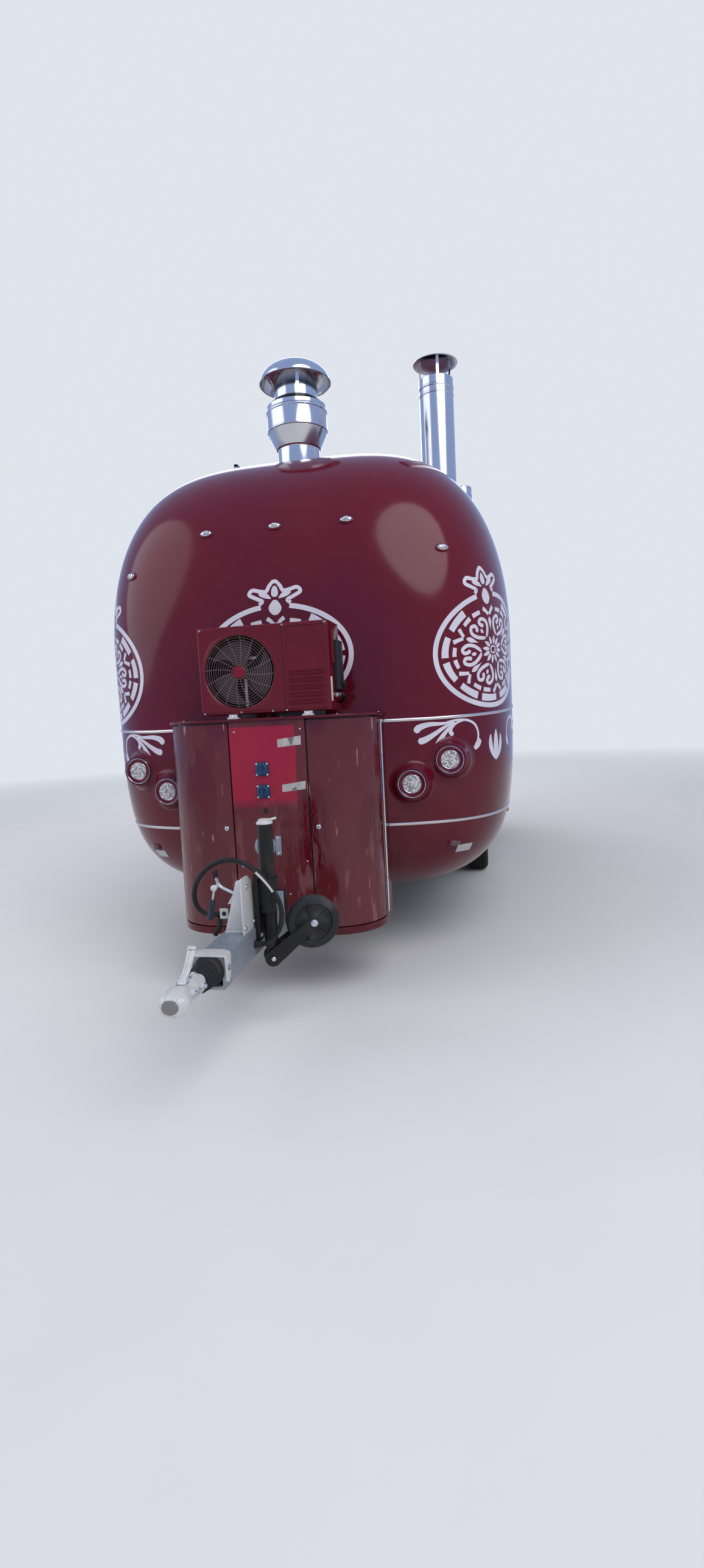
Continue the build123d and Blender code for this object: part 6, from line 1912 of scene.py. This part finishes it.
for row, axle in zip(("front", "rear"), AXLES):
    for word, side in (("kerb", -1), ("road", 1)):
        tyre(f"{row}_{word}", side, axle)
        rim(f"{row}_{word}", side, axle)


# Rear door, shelf, struts and kitchen

def framed(piece, finish, outer, hole, start, end, soft=6):
    """Flat frame: rounded rectangles (x0, x1, z0, z1) of the hole and the outside, joined front and back."""
    rows = []
    for rectangle, at in ((hole, end), (hole, start), (outer, start), (outer, end)):
        x0, x1, z0, z1 = rectangle
        rows.append(square_loop((x1 - x0) / 2, (z1 - z0) / 2, soft, at, ((x0 + x1) / 2, (z0 + z1) / 2)))
    piece.grid(rows, finish, round_u=True, round_v=True)


def knuckles(piece, start, axis, length, radius, low, high, cuts):
    """Hinge barrel from one share of its length to another, cut into knuckles."""
    start, axis = np.asarray(start, float), np.asarray(axis, float)
    ends = np.linspace(low, high, cuts + 1) * length
    for a, b in zip(ends, ends[1:]):
        bar(piece, hinge_metal, start + axis * (a + 0.4), start + axis * (b - 0.4), radius, 20, 0.6)


DOOR_HINGE = ((347, 5215, 580), UP, 1690, 8.8)


@built("rear_door_frame", "maroon_shell", bevel=1.5)
def door_surround(piece):
    """Deep flat frame round the door, with a rubber seal, a step plate and the fixed hinge barrels."""
    framed(piece, maroon, (-395, 395, 475, 2375), (-350, 350, 520, 2330), 5000, 5210, 9)
    framed(piece, black_rubber, (-349.8, 349.8, 520.2, 2329.8), (-343.9, 343.9, 526.1, 2323.9),
        5120, 5166, 4)
    block(piece, kitchen_metal, (-348, 5000, 520.3), (348, 5206, 523), 1)
    for low, high in ((0, 0.1), (0.9, 1)):
        knuckles(piece, *DOOR_HINGE, low, high, 2)
    bar(piece, hinge_metal, (347, 5215, 581), (347, 5215, 2269), 4.2)


@built("entry_door", "maroon_shell", body="entry_door", bevel=1.2)
def door_leaf(piece):
    """Flat door with a window hole and seal, a pressed lower panel, a lever handle and its hinge barrel."""
    framed(piece, maroon, (-344, 344, 526, 2324), (-190, 190, 1500, 2100), 5172, 5208, 8)
    for at in (5205, 5170.5):
        framed(piece, black_rubber, (-204, 204, 1486, 2114), (-187.5, 187.5, 1502.5, 2097.5), at, at + 5, 12)
    line = box_line(-250, 250, 640, 1180, 40, 7)
    carried(piece, maroon, upright(line, 5207.6), bead(7, 3, 7), REAR, closed=True)
    block(piece, dark_plastic, (-306, 5207, 1282), (-264, 5213, 1418), 4)
    bar(piece, rim_silver, (-285, 5212, 1380), (-285, 5224, 1380), 9, 24)
    carried(piece, rim_silver, smooth_path([(-285, 5224, 1380), (-262, 5225, 1381), (-226, 5224, 1378),
        (-205, 5223, 1377)], 5), box_line(-5, 5, -9, 9, 4, 4))
    lathe(piece, rim_silver, [(0, 0), (9, 0), (9, 3), (6, 4.5), (0, 4.5)], (-285, 5212, 1320), REAR, 24)
    knuckles(piece, *DOOR_HINGE, 0.1, 0.9, 10)


@built("counter_shelf", "stainless", body="counter_shelf", sharp=36)
def shelf_board(piece):
    """Folded shelf: rounded board, stiffening beads and the hinge barrel."""
    outline = rounded_line([(1620, 1002), (3580, 1002), (3580, 1372), (1620, 1372)], (26, 26, 4, 4), 6, True)
    slab(piece, kitchen_metal, outline, -1201.5, -1182.5, 5, "x")
    for z in (1080, 1190, 1300):
        path = [(-1183.2, s, z) for s in np.linspace(1700, 3500, 20)]
        carried(piece, kitchen_metal, path, bead(9, 3), (1, 0, 0))
    knuckles(piece, (-1192, 1620, 1382), REAR, 1960, 7.8, 0.05, 0.95, 14)


STRUT_FOOT = (-1020, 1550)
STRUT_EYE = (-1059.85, 2100)


def hatch_struts():
    """Two gas struts: cylinders with an eye at the foot, and rods with an eye at the top."""
    cylinders, rods = Piece("strut_bodies"), Piece("strut_stems")
    for s in (1600, 3600):
        foot = np.array([STRUT_FOOT[0], s, STRUT_FOOT[1]])
        eye = np.array([STRUT_EYE[0], s, STRUT_EYE[1]])
        way = direction(eye - foot)
        lathe(cylinders, cable_black, [(4.6, 11), (9, 11), (10, 13), (10, 292), (8.5, 297), (6.5, 300),
            (4.6, 300)], foot, way, 32)
        lathe(cylinders, rim_silver, [(6.1, -8), (12, -8), (13, -6.5), (13, 6.5), (12, 8), (6.1, 8)], foot,
            REAR, 32)
        lathe(rods, stainless, disc(4.3, 150, 541), foot, way, 24)
        lathe(rods, rim_silver, [(0, -8), (10, -8), (11, -6.5), (11, 6.5), (10, 8), (0, 8)], eye, REAR, 32)
    cylinders.make("hatch_strut_cylinders", "black_rubber", "strut_cylinders", 36)
    rods.make("hatch_strut_rods", "stainless", "strut_rods", 36)


hatch_struts()


@built("", "kitchen_steel", sharp=40)
def kitchen_fittings(piece):
    """On the kitchen's plain units: burner rings and pan supports, knobs, oven door, a sink and its tap."""
    low, high = (np.array(v) * 1000 - (0, NOSE, 0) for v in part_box("cooking_range"))
    for s in np.linspace(low[1] + 300, low[1] + 1260, 3):
        for x in (low[0] + 175, low[0] + 455):
            centre = np.array([x, s, high[2]])
            lathe(piece, duct_dark, [(0, 0), (62, 0), (62, 5), (50, 8), (46, 16), (20, 18), (0, 18)], centre,
                count=40)
            for a in np.arange(4) * pi / 2 + pi / 4:
                way = spoke(a)
                stops = ((30, 24), (128, 24), (132, 2))
                path = [centre + way * reach + (0, 0, rise) for reach, rise in stops]
                carried(piece, cast_zinc, path, circle(4, 8))
        for k in (-60, 60):
            lathe(piece, dark_plastic, [(0, 0), (21, 0), (19, 20), (16, 24), (0, 24)],
                (low[0], s + k, high[2] - 60), (-1, 0, 0), 28)
    block(piece, kitchen_metal, (low[0] - 10, low[1] + 180, 790), (low[0] + 4, low[1] + 1100, 1200), 6)
    pipe(piece, rim_silver, rounded_line([(low[0], low[1] + 240, 1160), (low[0] - 42, low[1] + 240, 1160),
        (low[0] - 42, low[1] + 1040, 1160), (low[0], low[1] + 1040, 1160)], 14, 6), 9, 16)
    low, high = (np.array(v) * 1000 - (0, NOSE, 0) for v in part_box("kitchen_counter"))
    middle = np.array([(low[0] + high[0]) / 2, high[1] - 330, high[2]])
    for finish, half, rise in ((kitchen_metal, 230, 3), (duct_dark, 180, 4)):
        line = box_line(-half, half, -half * 0.7, half * 0.7, 50, 7)
        slab(piece, finish, line, 0.2, rise, 1, "z", middle)
    bend = [(170, 0), (170, 180), (150, 240), (90, 262), (40, 240), (30, 200)]
    pipe(piece, rim_silver, smooth_path([middle + (0, s, z) for s, z in bend], 8), 11, 18)


@built("", "galvanised", sharp=40)
def chassis_fittings(piece):
    """Small pieces on the chassis: brake rod, axle clamps, dampers and bolts."""
    pipe(piece, rim_silver, [(0, 660, 372), (0, 2300, 340), (0, 3000, 340)], 6, 12)
    for s in (2250, 2970):
        bar(piece, rim_silver, (-90, s + 4, 318), (90, s + 4, 318), 44, 6)
        for side in (-1, 1):
            for ds in (-46, 46):
                screw(piece, rim_silver, (side * 560, s + ds, 282), (0, 0, -1), 9, 7)
            bar(piece, cable_black, (side * 742, s + 20, 355), (side * 746, s + 200, 420), 16, 24, 3)
    for side in (-1, 1):
        for shift in (-38, 38):
            screw(piece, rim_silver, (side * 560 + shift, 4450, 318), (np.sign(shift), 0, 0), 10, 7)


def dress(finish, *names):
    """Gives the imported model's own pieces a procedural finish."""
    for name in names:
        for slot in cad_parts[name].material_slots:
            slot.link = "OBJECT"
            slot.material = finish


dress(galvanised, "chassis_frame", "front_axle", "rear_axle", "rear_kerb_leg", "rear_road_leg")
dress(kitchen_metal, "kitchen_counter", "cooking_range")
dress(floor_board, "floor_panel")
dress(liner_black, "wheel_arches")
dress(pane, "door_window")


# Floor, light and background, which aren't part of the object

def background(tree, colour, strength):
    """One even sky colour."""
    node = tree.nodes.new("ShaderNodeBackground")
    node.inputs["Color"].default_value = (*colour, 1)
    node.inputs["Strength"].default_value = strength
    return node.outputs[0]


def studio():
    """Pale floor that fades into the background, a soft key and fill, and an even sky."""
    reach = 40.0
    angle = once_round(64)
    ring = np.stack([np.cos(angle) * reach, np.sin(angle) * reach, np.zeros(64)], 1)
    mesh = bpy.data.meshes.new("floor")
    mesh.from_pydata(ring.tolist(), [], [list(range(64))])
    floor = bpy.data.objects.new("floor", mesh)
    bpy.context.scene.collection.objects.link(floor)
    f = Finish("studio floor")
    x, y, _ = f.split()
    away = (x * x + y * y) ** 0.5
    grain = f.noise(3.0, 5.0)
    paper = f.node("ShaderNodeBsdfDiffuse", {"Color": f.mix(grain, (0.74, 0.74, 0.75), (0.78, 0.78, 0.79))})
    clear_way = f.node("ShaderNodeBsdfTransparent")
    cover = f.node("ShaderNodeMixShader", {
        0: f.between(away, 7.0, 16.0), 1: paper["BSDF"], 2: clear_way["BSDF"]})
    f.node("ShaderNodeOutputMaterial", {"Surface": cover["Shader"]})
    mesh.materials.append(f.material)
    key = ("key", (4.5, -6.5, 7.5), 7.5, 420, (0, -1.0, 1.2))
    fill = ("fill", (-7.0, -4.0, 5.5), 8.0, 200, (0, -0.5, 1.2))
    back = ("back", (-2.0, 8.5, 6.5), 7.5, 260, (0, 1.0, 1.2))
    for name, place, size, power, aim in (key, fill, back):
        light = bpy.data.objects.new(name, bpy.data.lights.new(name, "AREA"))
        light.data.shape = "DISK"
        light.data.size = size
        light.data.energy = power
        bpy.context.scene.collection.objects.link(light)
        way = direction(np.array(aim) - np.array(place))
        first, second = side_axes(-way)
        light.matrix_world = Matrix((tuple(first), tuple(second), tuple(-way))).transposed().to_4x4()
        light.location = place
    world = bpy.data.worlds.new("sky")
    bpy.context.scene.world = world
    world.use_nodes = True
    tree = world.node_tree
    tree.nodes.clear()
    path = tree.nodes.new("ShaderNodeLightPath")
    sky = background(tree, (0.80, 0.86, 1.0), 0.56)
    for ray, colour in (("Is Glossy Ray", (0.36, 0.48, 0.80)), ("Is Camera Ray", (0.74, 0.78, 0.84)),
            ("Is Transmission Ray", (0.74, 0.78, 0.84))):
        blend = tree.nodes.new("ShaderNodeMixShader")
        tree.links.new(path.outputs[ray], blend.inputs[0])
        tree.links.new(sky, blend.inputs[1])
        tree.links.new(background(tree, colour, 1.0), blend.inputs[2])
        sky = blend.outputs[0]
    out = tree.nodes.new("ShaderNodeOutputWorld")
    tree.links.new(sky, out.inputs["Surface"])


studio()
bpy.context.scene.view_settings.view_transform = "Standard"
